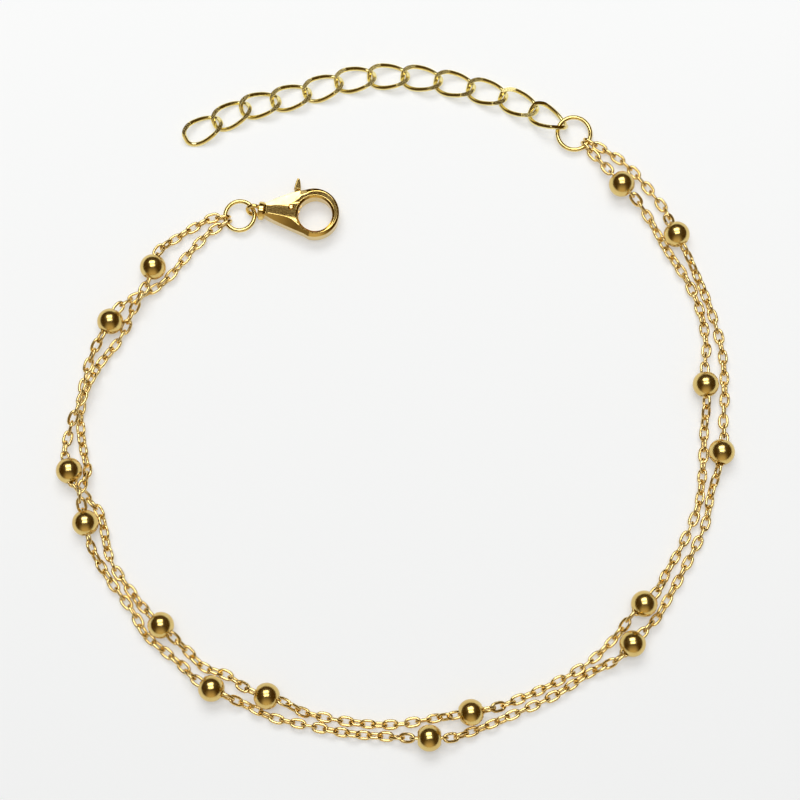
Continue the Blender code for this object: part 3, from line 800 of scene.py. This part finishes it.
@dataclass
class CurbExtender:
    """Extender chain of twisted curb links, laid back from its jump ring to the free end."""

    ring: JumpRing
    lie: Sequence[tuple[float, float, float, float]]
    length: float = 5.9
    width: float = 3.7
    wire: float = 0.62
    roundness: float = 3.0
    twist: float = 42.0
    half_thickness: float = 0.76
    play: float = 0.1
    hang_play: float = 0.22

    @property
    def pitch(self) -> float:
        """Distance from one joint to the next."""
        return self.length - 2 * self.wire - self.play

    def build(self, net: NodeNet, material: bpy.types.Material) -> None:
        """Makes each link.

        Args:
            net: Tree that shapes a link.
            material: Finish of the links.
        """
        last_way = heading_vector(self.lie[-1][0])
        hang = self.ring.radius - 0.5 * self.ring.wire - 0.5 * self.wire - self.hang_play
        hang += 0.5 * (self.wire + self.play)
        joint = Vector((self.ring.x, self.ring.y, 0.0)) - last_way * hang
        joint.z = self.half_thickness + sum(rise for _, _, rise, _ in self.lie)
        for number in range(len(self.lie), 0, -1):
            heading, roll, rise, slack = self.lie[number - 1]
            climb = math.asin(rise / self.pitch)
            way = heading_vector(heading) * math.cos(climb) + UP * math.sin(climb)
            joint = joint + way * slack
            middle = joint - way * 0.5 * self.pitch
            turn = placed(0.0, 0.0, 0.0, heading, roll, math.degrees(climb)).to_euler()
            start = bpy.data.meshes.new("start")
            name = "curb_link_%02d" % number
            mesh = net.run(name, start, {
                "Link Length": self.length * MM, "Link Width": self.width * MM, "Wire": self.wire * MM,
                "Roundness": self.roundness, "Twist": math.radians(self.twist),
                "Half Thickness": self.half_thickness * MM, "Place": (middle + CENTRE_SHIFT) * MM,
                "Turn": turn, "Finish": material})
            finish_piece(name, mesh, material, Body.ANKLET,
                         ["extender_link_%02d" % number], by_area=True)
            joint = joint - way * self.pitch


@dataclass
class LobsterClasp:
    """Lobster clasp: body with hook, cheeks, neck and eye, the lever that shuts it, and its pin.

    Everything is in the clasp's own frame: origin at the middle of the hole, +X away from the eye,
    +Y to the thumb tab's side, z = 0 on the flat underside.
    """

    x: float = -11.4
    y: float = 24.92
    heading: float = -6.5
    thickness: float = 2.8
    hole_radius: float = 2.3
    hole_chamfer: float = 0.29
    rim: Triple = (-0.15, 0.2, 3.35)
    rim_arc: Point = (-98.0, 116.0)
    rim_steps: int = 72
    rim_bevel: Sequence[Triple] = (
        (-98.0, 0.48, 0.42), (-45.0, 0.36, 0.30), (0.0, 0.22, 0.14), (70.0, 0.24, 0.14), (116.0, 0.50, 0.20))
    taper: Triple = (-3.2, 3.2, 0.2)
    edge_round: float = 0.06
    wall: float = 0.3
    lower_flank: Sequence[tuple[float, float, float, float]] = (
        (-6.9, -0.85, 0.30, 0.20), (-6.3, -1.12, 0.50, 0.28), (-5.4, -1.48, 0.80, 0.40),
        (-4.4, -1.82, 1.05, 0.50), (-3.3, -2.18, 1.10, 0.52), (-2.2, -2.52, 0.72, 0.48),
        (-1.3, -2.80, 0.50, 0.42))
    upper_flank: Sequence[tuple[float, float, float, float]] = (
        (-2.4, 2.98, 0.75, 0.16), (-3.3, 2.62, 1.25, 0.26), (-4.4, 2.10, 1.40, 0.29),
        (-5.4, 1.56, 1.00, 0.21), (-6.3, 0.98, 0.55, 0.11), (-6.9, 0.68, 0.30, 0.06))
    flank_steps: int = 4
    pivot: Point = (-3.3, 0.55)
    gap: float = 0.12
    finger_gap: float = 0.05
    inner_reach: float = 1.3
    outer_reach: float = 3.6
    mouth_arc: Point = (24.0, 64.0)
    mouth_top: float = 4.4
    mouth_end: float = -10.0
    tuck_radius: float = 3.2
    step_x: float = -2.22
    hub_radius: float = 0.85
    hub_arc: Point = (150.0, 340.0)
    web: Sequence[Point] = (
        (-2.1, 0.85), (-1.75, 1.75), (-2.1, 2.45), (-2.42, 3.42), (-2.98, 3.42), (-3.3, 2.6), (-3.75, 1.27))
    tab: Sequence[Point] = (
        (-2.35, 3.27), (-2.42, 3.9), (-2.6, 4.6), (-2.75, 4.82), (-2.95, 4.82), (-3.07, 4.6), (-3.2, 3.9),
        (-3.28, 3.27))
    plate_heights: Point = (1.05, 1.75)
    tab_heights: Point = (0.75, 2.05)
    tab_round: float = 0.16
    slot_heights: Point = (0.93, 1.87)
    slot_arc: Point = (-25.0, 103.0)
    slot_hub_arc: Point = (128.0, 320.0)
    slot_play: float = 0.15
    pin_radius: float = 0.385
    pin_crown: float = 0.13
    pin_proud: Point = (0.02, 0.06)
    pin_hole_radius: float = 0.4
    cut_past: float = 1.0
    sharp_from: float = 50.0
    eye: Mapping[str, float] = field(default_factory=lambda: dict(
        x=-8.3, y=-0.1, z=1.3, radius=0.87, wire=0.56, tilt=60.0))
    neck: Sequence[Point] = (
        (-7.75, 0.94), (-7.70, 1.08), (-7.62, 1.20), (-7.52, 1.26), (-7.06, 1.26), (-6.97, 1.21),
        (-6.90, 1.02), (-6.84, 0.85), (-6.2, 0.85))

    @property
    def place(self) -> Matrix:
        """Matrix of the clasp in the tables' frame, in millimetres."""
        return placed(self.x, self.y, 0.0, self.heading)

    @staticmethod
    def eased(rows: Sequence[tuple[float, ...]], steps: int) -> list[tuple[float, ...]]:
        """Adds smooth rows in between those of a table.

        Args:
            rows: The table.
            steps: Stretches from one of its rows to the next.

        Returns:
            The longer table.
        """
        padded = [rows[0], *rows, rows[-1]]
        out = []
        for i in range(1, len(padded) - 2):
            before, here, there, after = padded[i - 1:i + 3]
            for k in range(steps):
                s = k / steps
                out.append(tuple(
                    0.5 * (2 * b + (c - a) * s + (2 * a - 5 * b + 4 * c - d) * s * s
                           + (3 * b - a - 3 * c + d) * s ** 3)
                    for a, b, c, d in zip(before, here, there, after)))
        out.append(tuple(rows[-1]))
        return out

    @staticmethod
    def inset(points: Sequence, widths: Sequence[float]) -> list[Vector]:
        """Moves each point of a closed counterclockwise outline inwards.

        Args:
            points: The outline.
            widths: How far each point moves.

        Returns:
            The moved points.
        """
        moved = []
        count = len(points)
        for i in range(count):
            before, here = Vector(points[i - 1]), Vector(points[i])
            after = Vector(points[(i + 1) % count])
            side_a, side_b = (here - before).normalized(), (after - here).normalized()
            inward = Vector((-side_a.y - side_b.y, side_a.x + side_b.x)).normalized()
            spread = max(0.5, inward.dot(Vector((-side_a.y, side_a.x))))
            moved.append(here + inward * widths[i] / spread)
        return moved

    def softened(self, section: Sequence[Point]) -> list[Point]:
        """Rounds a section's corners.

        Args:
            section: Widths and heights of its corners.

        Returns:
            The section with each corner cut to three close points.
        """
        out = []
        count = len(section)
        for i in range(count):
            here = Vector(section[i])
            to_before = Vector(section[i - 1]) - here
            to_after = Vector(section[(i + 1) % count]) - here
            reach = min(self.edge_round, 0.4 * to_before.length, 0.4 * to_after.length)
            near, far = here + to_before.normalized() * reach, here + to_after.normalized() * reach
            out += [tuple(near), tuple(0.25 * near + 0.5 * here + 0.25 * far), tuple(far)]
        return out

    def prism(self, outline: Sequence, low: float, high: float, chamfer: float = 0.0) -> bmesh.types.BMesh:
        """Upright solid on a closed counterclockwise outline.

        Args:
            outline: Its points.
            low, high: Heights of its ends.
            chamfer: Width of a rounded edge at both ends.

        Returns:
            The solid.
        """
        levels = [(low, 0.0), (high, 0.0)]
        if chamfer > 0.0:
            quarter = [0.5 * math.pi * k / 4 for k in range(5)]
            levels = [(low + chamfer * (1.0 - math.cos(a)), chamfer * (1.0 - math.sin(a)))
                      for a in quarter]
            levels += [(high - (z - low), width) for z, width in reversed(levels)]
        bm = bmesh.new()
        loops = []
        for z, width in levels:
            ring = [Vector(p) for p in outline]
            if width > 1e-6:
                ring = self.inset(outline, [width] * len(outline))
            loops.append([bm.verts.new((p.x, p.y, z)) for p in ring])
        for loop_a, loop_b in zip(loops, loops[1:]):
            bridge(bm, loop_a, loop_b)
        bm.faces.new(loops[0])
        bm.faces.new(loops[-1])
        return bm

    def bevel_at(self, angle: float) -> Point:
        """Reads the table of the rim's bevel.

        Args:
            angle: Angle round the rim, in degrees.

        Returns:
            Width and depth of the bevel there.
        """
        for (start, *before), (end, *after) in zip(self.rim_bevel, self.rim_bevel[1:]):
            if angle <= end:
                share = max(0.0, (angle - start) / (end - start))
                return tuple(a + (b - a) * share for a, b in zip(before, after))
        return self.rim_bevel[-1][1:]

    def outline(self) -> list[tuple[float, ...]]:
        """Draws the outer outline.

        Returns:
            Its points with the width and depth of the bevel, counterclockwise from the neck.
        """
        start, end = self.rim_arc
        rim = [(x, y, *self.bevel_at(start + (end - start) * i / self.rim_steps))
               for i, (x, y) in enumerate(arc(*self.rim, *self.rim_arc, self.rim_steps))]
        rows = (self.eased(self.lower_flank, self.flank_steps) + rim
                + self.eased(self.upper_flank, self.flank_steps))
        bevels = [row[2:] for row in rows]
        for _ in range(2):
            between = [tuple(0.25 * a + 0.5 * b + 0.25 * c for a, b, c in zip(*three))
                       for three in zip(bevels, bevels[1:], bevels[2:])]
            bevels = [bevels[0], *between, bevels[-1]]
        return [(*row[:2], *bevel) for row, bevel in zip(rows, bevels)]

    def blank(self) -> bmesh.types.BMesh:
        """Makes what body and lever are cut from.

        Returns:
            Teardrop with bevelled flanks and a round hole, without the mouth and the slot.
        """
        rows = self.outline()
        outline = [row[:2] for row in rows]
        hole = [Vector(p).normalized() * self.hole_radius for p in outline]
        top, c, deep = self.thickness, self.hole_chamfer, self.hole_chamfer + self.wall
        kept = 3 * 4  # three points for each of the section's four visible corners
        inner = self.softened([(-c, top), (0.0, top - c), (0.0, c), (-c, 0.0), (-deep, 0.0), (-deep, top)])
        outer = [self.softened([
            (width, 0.0), (0.0, depth), (0.0, top - depth), (width, top), (width + self.wall, top),
            (width + self.wall, 0.0)]) for _, _, width, depth in rows]
        bm = bmesh.new()
        loops = []
        for level in range(kept):
            ring = self.inset(outline, [section[level][0] for section in outer])
            loops.append([bm.verts.new((*p, section[level][1])) for p, section in zip(ring, outer)])
        for out, z in inner[:kept]:
            loops.append([bm.verts.new((*(p - p.normalized() * out), z)) for p in hole])
        for i in range(len(loops)):
            bridge(bm, loops[i], loops[(i + 1) % len(loops)])
        start, end, thinner = self.taper
        middle = 0.5 * self.thickness
        for vertex in bm.verts:
            share = max(0.0, min(1.0, (vertex.co.x - start) / (end - start)))
            vertex.co.z = middle + (vertex.co.z - middle) * (1.0 - thinner * share)
        return bm

    def crossing(self, radius: float, reach: float) -> Vector:
        """Finds where two circles meet on the mouth's side.

        Args:
            radius: Distance from the hole's middle.
            reach: Distance from the pivot.

        Returns:
            The point.
        """
        px, py = self.pivot
        span = math.hypot(px, py)
        along = (radius ** 2 - reach ** 2 + span ** 2) / (2 * span)
        off = -math.sqrt(max(0.0, radius ** 2 - along ** 2))
        return Vector((px / span * along - py / span * off, py / span * along + px / span * off))

    @staticmethod
    def angle_of(point: Sequence[float], centre: Sequence[float] = (0.0, 0.0)) -> float:
        """Direction of a point from a centre, in degrees."""
        return math.degrees(math.atan2(point[1] - centre[1], point[0] - centre[0]))

    def mouth_outline(self, gap: float) -> list[Point]:
        """Draws where the finger lies in the ring, past the ring's inside and outside.

        Args:
            gap: Room all round the finger.

        Returns:
            The outline, counterclockwise.
        """
        outer = self.tuck_radius + gap
        step_x = self.step_x - gap
        step_y = math.sqrt(outer ** 2 - step_x ** 2)
        corner = self.crossing(outer, self.inner_reach - gap)
        points = arc(*self.pivot, self.outer_reach + gap, *self.mouth_arc, 16)
        points += [(step_x, self.mouth_top)]
        points += arc(0.0, 0.0, outer, self.angle_of((step_x, step_y)), self.angle_of(corner), 8)
        points += arc(*self.pivot, self.inner_reach - gap, self.angle_of(corner, self.pivot),
                      self.mouth_end, 12)[1:]
        return points

    def slot_outline(self) -> list[Point]:
        """Room between the cheeks for the lever's hub and web."""
        return (arc(*self.pivot, self.outer_reach, *self.slot_arc, 24)
                + arc(*self.pivot, self.hub_radius + self.slot_play, *self.slot_hub_arc, 20))

    def round_plug(self, radius: float, low: float, high: float, crown: float = 0.0) -> bmesh.types.BMesh:
        """Makes an upright round plug at the pivot.

        Args:
            radius: Its radius.
            low, high: Heights of its ends.
            crown: How far its edges lie inwards of its domed ends.

        Returns:
            The plug.
        """
        profile = [(low, radius), (high, radius)]
        if crown > 0.0:
            quarter = [0.5 * math.pi * k / 6 for k in range(7)]
            dome = [(radius * math.sin(a), crown * (1.0 - math.cos(a))) for a in quarter]
            dome[0] = (0.05 * radius, 0.0)  # the flat middle
            profile = [(low + down, r) for r, down in dome]
            profile += [(high - down, r) for r, down in reversed(dome)]
        bm = turned(profile, 32, closed=False)
        bmesh.ops.rotate(bm, verts=bm.verts, matrix=Matrix.Rotation(-0.5 * math.pi, 3, "Y"))
        bmesh.ops.translate(bm, verts=bm.verts, vec=(*self.pivot, 0.0))
        return bm

    def eye_ring(self) -> bmesh.types.BMesh:
        """Makes the ring of the eye.

        Returns:
            The ring, tipped about the clasp's length.
        """
        steps, wire_sides = 48, 18
        thin = 0.5 * self.eye["wire"]
        turns = [2 * math.pi * k / wire_sides for k in range(wire_sides)]
        bm = bmesh.new()
        sections = []
        for i in range(steps):
            out = heading_vector(360.0 * i / steps)
            sections.append([bm.verts.new(out * (self.eye["radius"] + thin * math.cos(t))
                                          + Vector((0.0, 0.0, thin * math.sin(t)))) for t in turns])
        for i in range(steps):
            bridge(bm, sections[i], sections[(i + 1) % steps])
        tilt = Matrix.Rotation(math.radians(self.eye["tilt"]), 4, "X")
        bm.transform(Matrix.Translation((self.eye["x"], self.eye["y"], self.eye["z"])) @ tilt)
        return bm

    def neck_turning(self) -> bmesh.types.BMesh:
        """Makes the neck.

        Returns:
            Turned neck with its collar.
        """
        bm = turned(self.neck, 36, closed=False)
        bmesh.ops.translate(bm, verts=bm.verts, vec=(0.0, self.eye["y"], 0.5 * self.thickness))
        return bm

    def combined(self, name: str, first: bmesh.types.BMesh,
                 steps: Sequence[tuple[str, bmesh.types.BMesh]]) -> bpy.types.Mesh:
        """Cuts or joins shapes one after another.

        Args:
            name: Name of the result.
            first: Shape to start from.
            steps: Operation and shape of each step.

        Returns:
            The result as a plain mesh in the part's frame.
        """
        item = add_object(name + "_blank", to_mesh(name, first, self.place))
        tools = []
        for operation, bm in steps:
            tool = add_object(name + "_tool", to_mesh(name + "_tool", bm, self.place))
            tools.append(tool)
            step = item.modifiers.new(operation, "BOOLEAN")
            step.operation = operation
            step.solver = "MANIFOLD"  # the exact solver leaves a gap at the pin hole
            step.object = tool
        made = applied(item)
        for thing in [item, *tools]:
            discard(thing)
        made.materials.clear()
        return made

    def build(self, material: bpy.types.Material) -> None:
        """Makes the body, the lever and the pin.

        Args:
            material: Their finish.
        """
        through = (-self.cut_past, self.thickness + self.cut_past)
        body = self.combined("clasp_casting", self.blank(), [
            ("DIFFERENCE", self.prism(self.mouth_outline(self.gap), *through)),
            ("DIFFERENCE", self.prism(self.slot_outline(), *self.slot_heights)),
            ("DIFFERENCE", self.round_plug(self.pin_hole_radius, *through)),
            ("UNION", self.neck_turning()),
            ("UNION", self.eye_ring())])
        finish_piece("clasp_casting", body, material, Body.ANKLET, ["clasp_body"],
                     self.sharp_from, by_area=True)

        plate = list(self.web) + arc(*self.pivot, self.hub_radius, *self.hub_arc, 24)
        lever = self.combined("clasp_trigger", self.blank(), [
            ("INTERSECT", self.prism(self.mouth_outline(self.gap - self.finger_gap), *through)),
            ("UNION", self.prism(plate, *self.plate_heights)),
            ("UNION", self.prism(self.eased(self.tab, 3), *self.tab_heights, self.tab_round)),
            ("DIFFERENCE", self.round_plug(self.pin_hole_radius, *through))])
        finish_piece("clasp_trigger", lever, material, Body.LEVER, ["clasp_lever"],
                     self.sharp_from, by_area=True)

        below, above = self.pin_proud
        pin = self.round_plug(self.pin_radius, -below, self.thickness + above, crown=self.pin_crown)
        mesh = to_mesh("clasp_rivet", pin, self.place)
        finish_piece("clasp_rivet", mesh, material, Body.ANKLET, ["clasp_pin"])


@dataclass(frozen=True)
class SoftLight:
    """Four-sided soft lamp that looks at the middle of the anklet.

    Attributes:
        radiance: Light of its face.
        half_angles: Half its width and half its height as seen from the anklet, in degrees.
        distance: How far away it is, in metres.
        azimuth, elevation: Where it stands, in degrees.
    """

    name: str
    radiance: float
    half_angles: tuple[float, float]
    distance: float
    azimuth: float
    elevation: float

    def build(self) -> None:
        """Makes the lamp."""
        across, up = (self.distance * math.tan(math.radians(angle)) for angle in self.half_angles)
        data = bpy.data.lights.new(self.name, "AREA")
        data.shape = "RECTANGLE"
        data.size = 2.0 * across
        data.size_y = 2.0 * up
        data.energy = self.radiance * math.pi * data.size * data.size_y
        lamp = add_object(self.name, data)
        out = heading_vector(self.azimuth) * math.cos(math.radians(self.elevation))
        out.z = math.sin(math.radians(self.elevation))
        lamp.location = out * self.distance
        lamp.rotation_euler = out.to_track_quat("Z", "Y").to_euler()


@dataclass(frozen=True)
class MirroredRoom:
    """Dark room above the table that only polished metal mirrors, paler towards the camera's side.

    Attributes:
        dark: Light of the room.
        pale: Light low down on the camera's side.
        rise: Sines of the directions from which the room pales and where it is palest.
        spread: Sines across at which the pale part has ended and where it is full.
        radius: Radius of the dome, in metres.
    """

    dark: Triple = (0.066, 0.035, 0.004)
    pale: Triple = (0.68, 0.54, 0.33)
    rise: tuple[float, float] = (0.24, 0.95)
    spread: tuple[float, float] = (0.80, 0.25)
    radius: float = 3.0

    def material(self) -> bpy.types.Material:
        """Makes the dome's glow.

        Returns:
            Material that is dark all over but for the soft-edged pale part.
        """
        material = bpy.data.materials.new("mirrored_room")
        material.use_nodes = True
        tree = material.node_tree
        tree.nodes.clear()
        place = add_node(tree, "ShaderNodeTexCoord", {}).outputs["Object"]
        where = add_node(tree, "ShaderNodeSeparateXYZ", {0: place}).outputs
        across = add_node(tree, "ShaderNodeMath", {0: where[0]}, operation="ABSOLUTE").outputs[0]
        shares = []
        for value, (start, full), sign, kind in ((where[1], self.rise, -1.0, "LINEAR"),
                                                 (across, self.spread, 1.0, "SMOOTHSTEP")):
            ramp = add_node(tree, "ShaderNodeMapRange", {
                "Value": value, "From Min": sign * start * self.radius,
                "From Max": sign * full * self.radius}, interpolation_type=kind)
            shares.append(ramp.outputs["Result"])
        both = add_node(tree, "ShaderNodeMath", dict(enumerate(shares)), operation="MULTIPLY")
        tone = add_node(tree, "ShaderNodeMix", {
            "Factor": both.outputs[0], "A": (*self.dark, 1.0), "B": (*self.pale, 1.0)}, data_type="RGBA")
        glow = add_node(tree, "ShaderNodeEmission", {"Color": tone.outputs["Result"]})
        add_node(tree, "ShaderNodeOutputMaterial", {"Surface": glow.outputs[0]})
        return material

    def build(self) -> None:
        """Makes the dome."""
        bm = bmesh.new()
        bmesh.ops.create_uvsphere(bm, u_segments=48, v_segments=24, radius=self.radius)
        below = [vertex for vertex in bm.verts if vertex.co.z < -1e-4]  # under the table
        bmesh.ops.delete(bm, geom=below, context="VERTS")
        bmesh.ops.reverse_faces(bm, faces=bm.faces)
        mesh = bpy.data.meshes.new("mirrored_room")
        bm.to_mesh(mesh)
        bm.free()
        mesh.materials.append(self.material())
        dome = add_object("mirrored_room", mesh)
        dome.visible_camera = False
        dome.visible_diffuse = False
        dome.visible_transmission = False
        dome.visible_shadow = False


@dataclass
class Studio:
    """Plain pale floor in even light, two softboxes, and the camera at the photograph's angle.

    Level facets mirror the gap between the softboxes and stay dark.

    Attributes:
        floor_size: Length of the floor's sides, in metres.
        floor_colour: Its colour.
        floor_drift: Darkest share of it in the floor's faint clouds.
        painted_floor_light: Glow of the floor on the camera's side and on the far side; it is painted
            light that thins the shade under and round the pieces, lower on the camera's side as painted
            falloff.
        painted_light_colour: Colour of that painted glow.
        painted_light_span: Where along Y the painted glow starts and stops changing, in metres.
        even_light: Light from all sides.
        tilt: Camera's lean from straight down, in degrees.
        distance: Its distance, in millimetres.
        clip: Nearest and farthest distance that it sees, in metres.
    """

    floor_size: float = 5.0
    floor_colour: Triple = (0.68, 0.683, 0.68)
    floor_drift: float = 0.99
    cloud_scale: float = 3.0
    painted_floor_light: tuple[float, float] = (0.305, 0.365)
    painted_light_colour: Triple = (0.995, 1.0, 0.995)
    painted_light_span: tuple[float, float] = (-0.055, 0.055)
    even_light: Triple = (0.28, 0.28, 0.28)
    tilt: float = 10.5
    distance: float = 330.0
    pixels_per_mm: float = 7.5
    image_width: float = 800.0
    sensor: float = 36.0
    clip: tuple[float, float] = (0.01, 20.0)
    softboxes: Sequence[SoftLight] = (
        SoftLight("softbox_overhead", radiance=4.5, half_angles=(19.0, 8.0), distance=1.5,
                  azimuth=97.0, elevation=87.0),
        SoftLight("softbox_behind", radiance=4.5, half_angles=(20.0, 11.5), distance=1.5,
                  azimuth=98.0, elevation=57.6))
    room: MirroredRoom = MirroredRoom()

    def floor(self) -> None:
        """Makes the floor, with a very faint unevenness of tone and a painted glow of light that thins its
        shade.
        """
        material = bpy.data.materials.new("pale_floor")
        material.use_nodes = True
        tree = material.node_tree
        shader = tree.nodes["Principled BSDF"]
        shader.inputs["Roughness"].default_value = 0.9
        shader.inputs["Specular IOR Level"].default_value = 0.0
        place = add_node(tree, "ShaderNodeTexCoord", {}).outputs["Object"]
        noise = add_node(tree, "ShaderNodeTexNoise", {"Vector": place, "Scale": self.cloud_scale})
        darker = [self.floor_drift * c for c in self.floor_colour]
        tone = add_ramp(tree, noise.outputs["Fac"], [(0.0, darker), (1.0, self.floor_colour)])
        tree.links.new(tone, shader.inputs["Base Color"])
        # Painted light: the floor glows all over, which thins the shade under and round the pieces, and it
        # glows less on the camera's side as a painted falloff of the light.
        shader.inputs["Emission Color"].default_value = (*self.painted_light_colour, 1.0)
        where = add_node(tree, "ShaderNodeSeparateXYZ", {0: place}).outputs
        glow = add_node(tree, "ShaderNodeMapRange", {
            "Value": where[1], "From Min": self.painted_light_span[0], "From Max": self.painted_light_span[1],
            "To Min": self.painted_floor_light[0], "To Max": self.painted_floor_light[1]})
        tree.links.new(glow.outputs["Result"], shader.inputs["Emission Strength"])
        half = 0.5 * self.floor_size
        mesh = bpy.data.meshes.new("floor")
        corners = [(-half, -half, 0.0), (half, -half, 0.0), (half, half, 0.0), (-half, half, 0.0)]
        mesh.from_pydata(corners, [], [(0, 1, 2, 3)])
        mesh.materials.append(material)
        add_object("floor", mesh)

    def surroundings(self) -> None:
        """Even pale light from all sides, which the polished metal doesn't mirror."""
        world = bpy.data.worlds.new("studio")
        world.use_nodes = True
        world.node_tree.nodes["Background"].inputs["Color"].default_value = (*self.even_light, 1.0)
        world.cycles_visibility.glossy = False
        bpy.context.scene.world = world

    def camera(self) -> None:
        """Camera where the photograph was taken from."""
        data = bpy.data.cameras.new("photo_camera")
        data.sensor_width = self.sensor
        data.lens = self.pixels_per_mm * self.distance * self.sensor / self.image_width
        data.clip_start, data.clip_end = self.clip
        item = add_object("photo_camera", data)
        lean = math.radians(self.tilt)
        back = Vector((0.0, -math.sin(lean), math.cos(lean))) * self.distance
        item.location = (back + CENTRE_SHIFT) * MM
        item.rotation_euler = (lean, 0.0, 0.0)
        bpy.context.scene.camera = item

    def build(self) -> None:
        """Sets the stage."""
        self.camera()
        self.floor()
        self.surroundings()
        for lamp in self.softboxes:
            lamp.build()
        self.room.build()
        bpy.context.scene.view_settings.view_transform = "Standard"


# Place and heading of each bead.
BEADS = BallBeads({
    1: (-33.1, 17.8, 73.0), 2: (-38.65, 10.35, 60.0), 3: (-43.65, -9.8, 107.0), 4: (-41.35, -16.75, 103.0),
    5: (-31.2, -30.2, 136.0), 6: (-24.5, -38.4, 152.0), 7: (-17.3, -39.4, 162.0), 8: (3.8, -44.8, 180.0),
    9: (9.2, -41.5, 190.0), 10: (30.3, -32.6, 227.0), 11: (31.9, -27.4, 223.0), 12: (42.5, -7.3, 258.0),
    13: (40.6, 1.8, 272.0), 14: (37.15, 22.3, 297.0), 15: (29.9, 29.3, 312.0)})

RINGS = {
    RingSite.CLASP: JumpRing(RingSite.CLASP, x=-21.6, y=25.07, low=0.74, high=1.2, high_side=20.0,
                             diameter=4.6, joint_at=75.0),
    RingSite.EXTENDER: JumpRing(RingSite.EXTENDER, x=23.6, y=36.6, low=0.74, high=1.1, high_side=149.0,
                                diameter=5.1, joint_at=40.0),
}

# Each route runs from the extender to the clasp: a bead's number, or a point on the way.
ROUTE_A: list[Stop] = [
    15, (33.0, 25.7, LOW), (35.9, 20.4, LOW), (38.6, 16.0, LOW), (40.2, 11.9, LOW), (40.9, 7.0, LOW),
    13, (40.4, -3.9, LOW), (40.1, -9.0, LOW), (39.4, -14.2, LOW), (37.4, -19.0, LOW), (34.8, -23.6, LOW),
    11, (28.4, -31.4, LOW), (24.6, -35.0, LOW), (19.8, -37.8, LOW), (14.8, -40.0, LOW),
    9, (4.6, -42.2, LOW), (-0.6, -43.0, LOW), (-5.6, -42.8, LOW), (-12.6, -41.4, LOW),
    7, (-22.4, -36.7, LOW), (-25.7, -35.5, LOW), (-28.0, -33.2, LOW),
    5, (-35.2, -25.8, LOW), (-38.0, -21.6, LOW), (-39.0, -17.6, LOW), (-39.6, -15.3, LOW),
    (-41.0, -13.7, 0.65), (-42.0, -12.7, 0.95),
    3, (-43.9, -5.0, 1.0), (-43.2, -2.7, 1.75), (-42.3, -0.6, 1.9), (-41.3, 1.8, 1.75), (-40.1, 4.4, 0.95),
    (-37.4, 8.2, LOW), (-35.6, 12.0, 1.3), (-34.6, 13.9, 2.0),
    1, (-30.6, 21.6, LOW), (-27.2, 23.8, LOW),
]
ROUTE_B: list[Stop] = [
    (30.6, 32.2, LOW), (33.6, 28.8, LOW), (36.0, 25.4, LOW),
    14, (40.0, 16.4, LOW), (41.8, 11.4, LOW), (43.0, 6.3, LOW), (43.2, 0.6, LOW), (42.9, -3.6, LOW),
    12, (41.1, -12.6, LOW), (40.2, -16.9, LOW), (37.3, -22.8, LOW), (34.8, -27.2, LOW), (33.5, -29.3, 0.75),
    10, (25.0, -36.2, LOW), (20.2, -39.2, LOW), (15.0, -41.6, LOW), (9.4, -43.9, LOW),
    8, (-1.2, -44.6, LOW), (-6.4, -44.2, LOW), (-11.6, -43.2, LOW), (-16.6, -42.1, LOW), (-20.4, -40.3, LOW),
    6, (-28.3, -35.5, LOW), (-31.6, -32.8, LOW), (-33.4, -31.2, LOW), (-34.8, -28.6, LOW),
    (-38.6, -23.4, LOW),
    4, (-42.0, -12.8, 2.5), (-41.6, -11.4, 1.9), (-41.3, -9.9, 0.8), (-41.8, -7.6, LOW), (-42.3, -4.8, LOW),
    (-42.4, -1.0, LOW), (-41.6, 4.4, LOW),
    2, (-35.6, 13.7, 0.75), (-33.8, 14.5, LOW), (-31.4, 16.2, LOW), (-27.9, 20.4, LOW),
]
# Heading, roll, rise and slack of each extender link, from the free end.
EXTENDER_LIE = [
    (28.5, 0.0, 0.0, 0.15), (28.0, 0.0, 0.0, 0.4), (13.5, 0.0, 0.0, 0.25), (15.0, 0.0, 0.0, 0.0),
    (20.0, 0.0, 0.0, 0.0), (10.0, 0.0, 0.0, 0.0), (0.0, 0.0, 0.0, 0.0), (-8.0, 0.0, 0.0, 0.0),
    (-13.0, 0.0, 0.0, 0.0), (-16.0, 0.0, 0.03, 0.0), (-25.0, 0.0, 0.14, 0.0), (-31.0, -20.0, 0.42, 0.0),
]


def main() -> None:
    """Builds the studio and every sub-assembly in order."""
    logging.basicConfig(level=logging.INFO, format="%(message)s")
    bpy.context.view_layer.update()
    Studio().build()
    beads, chain = BEAD_GOLD.build(), CHAIN_GOLD.build()
    extender, ring_gold, clasp = EXTENDER_GOLD.build(), RING_GOLD.build(), CLASP_GOLD.build()
    LobsterClasp().build(clasp)
    for ring in RINGS.values():
        ring.build(ring_gold)
    CurbExtender(RINGS[RingSite.EXTENDER], EXTENDER_LIE).build(curb_link_net(), extender)
    BEADS.build(beads)
    net = cable_chain_net()
    FineChain(Strand.A, ROUTE_A, BEADS, RINGS, {RingSite.EXTENDER: -48.0, RingSite.CLASP: 184.0},
              roll_swing=0.55, roll_waves=9.0, seed=3).build(net, chain)
    FineChain(Strand.B, ROUTE_B, BEADS, RINGS, {RingSite.EXTENDER: -29.0, RingSite.CLASP: 208.0},
              roll_swing=0.55, roll_waves=7.0, seed=8).build(net, chain)


if __name__ == "__main__":
    main()
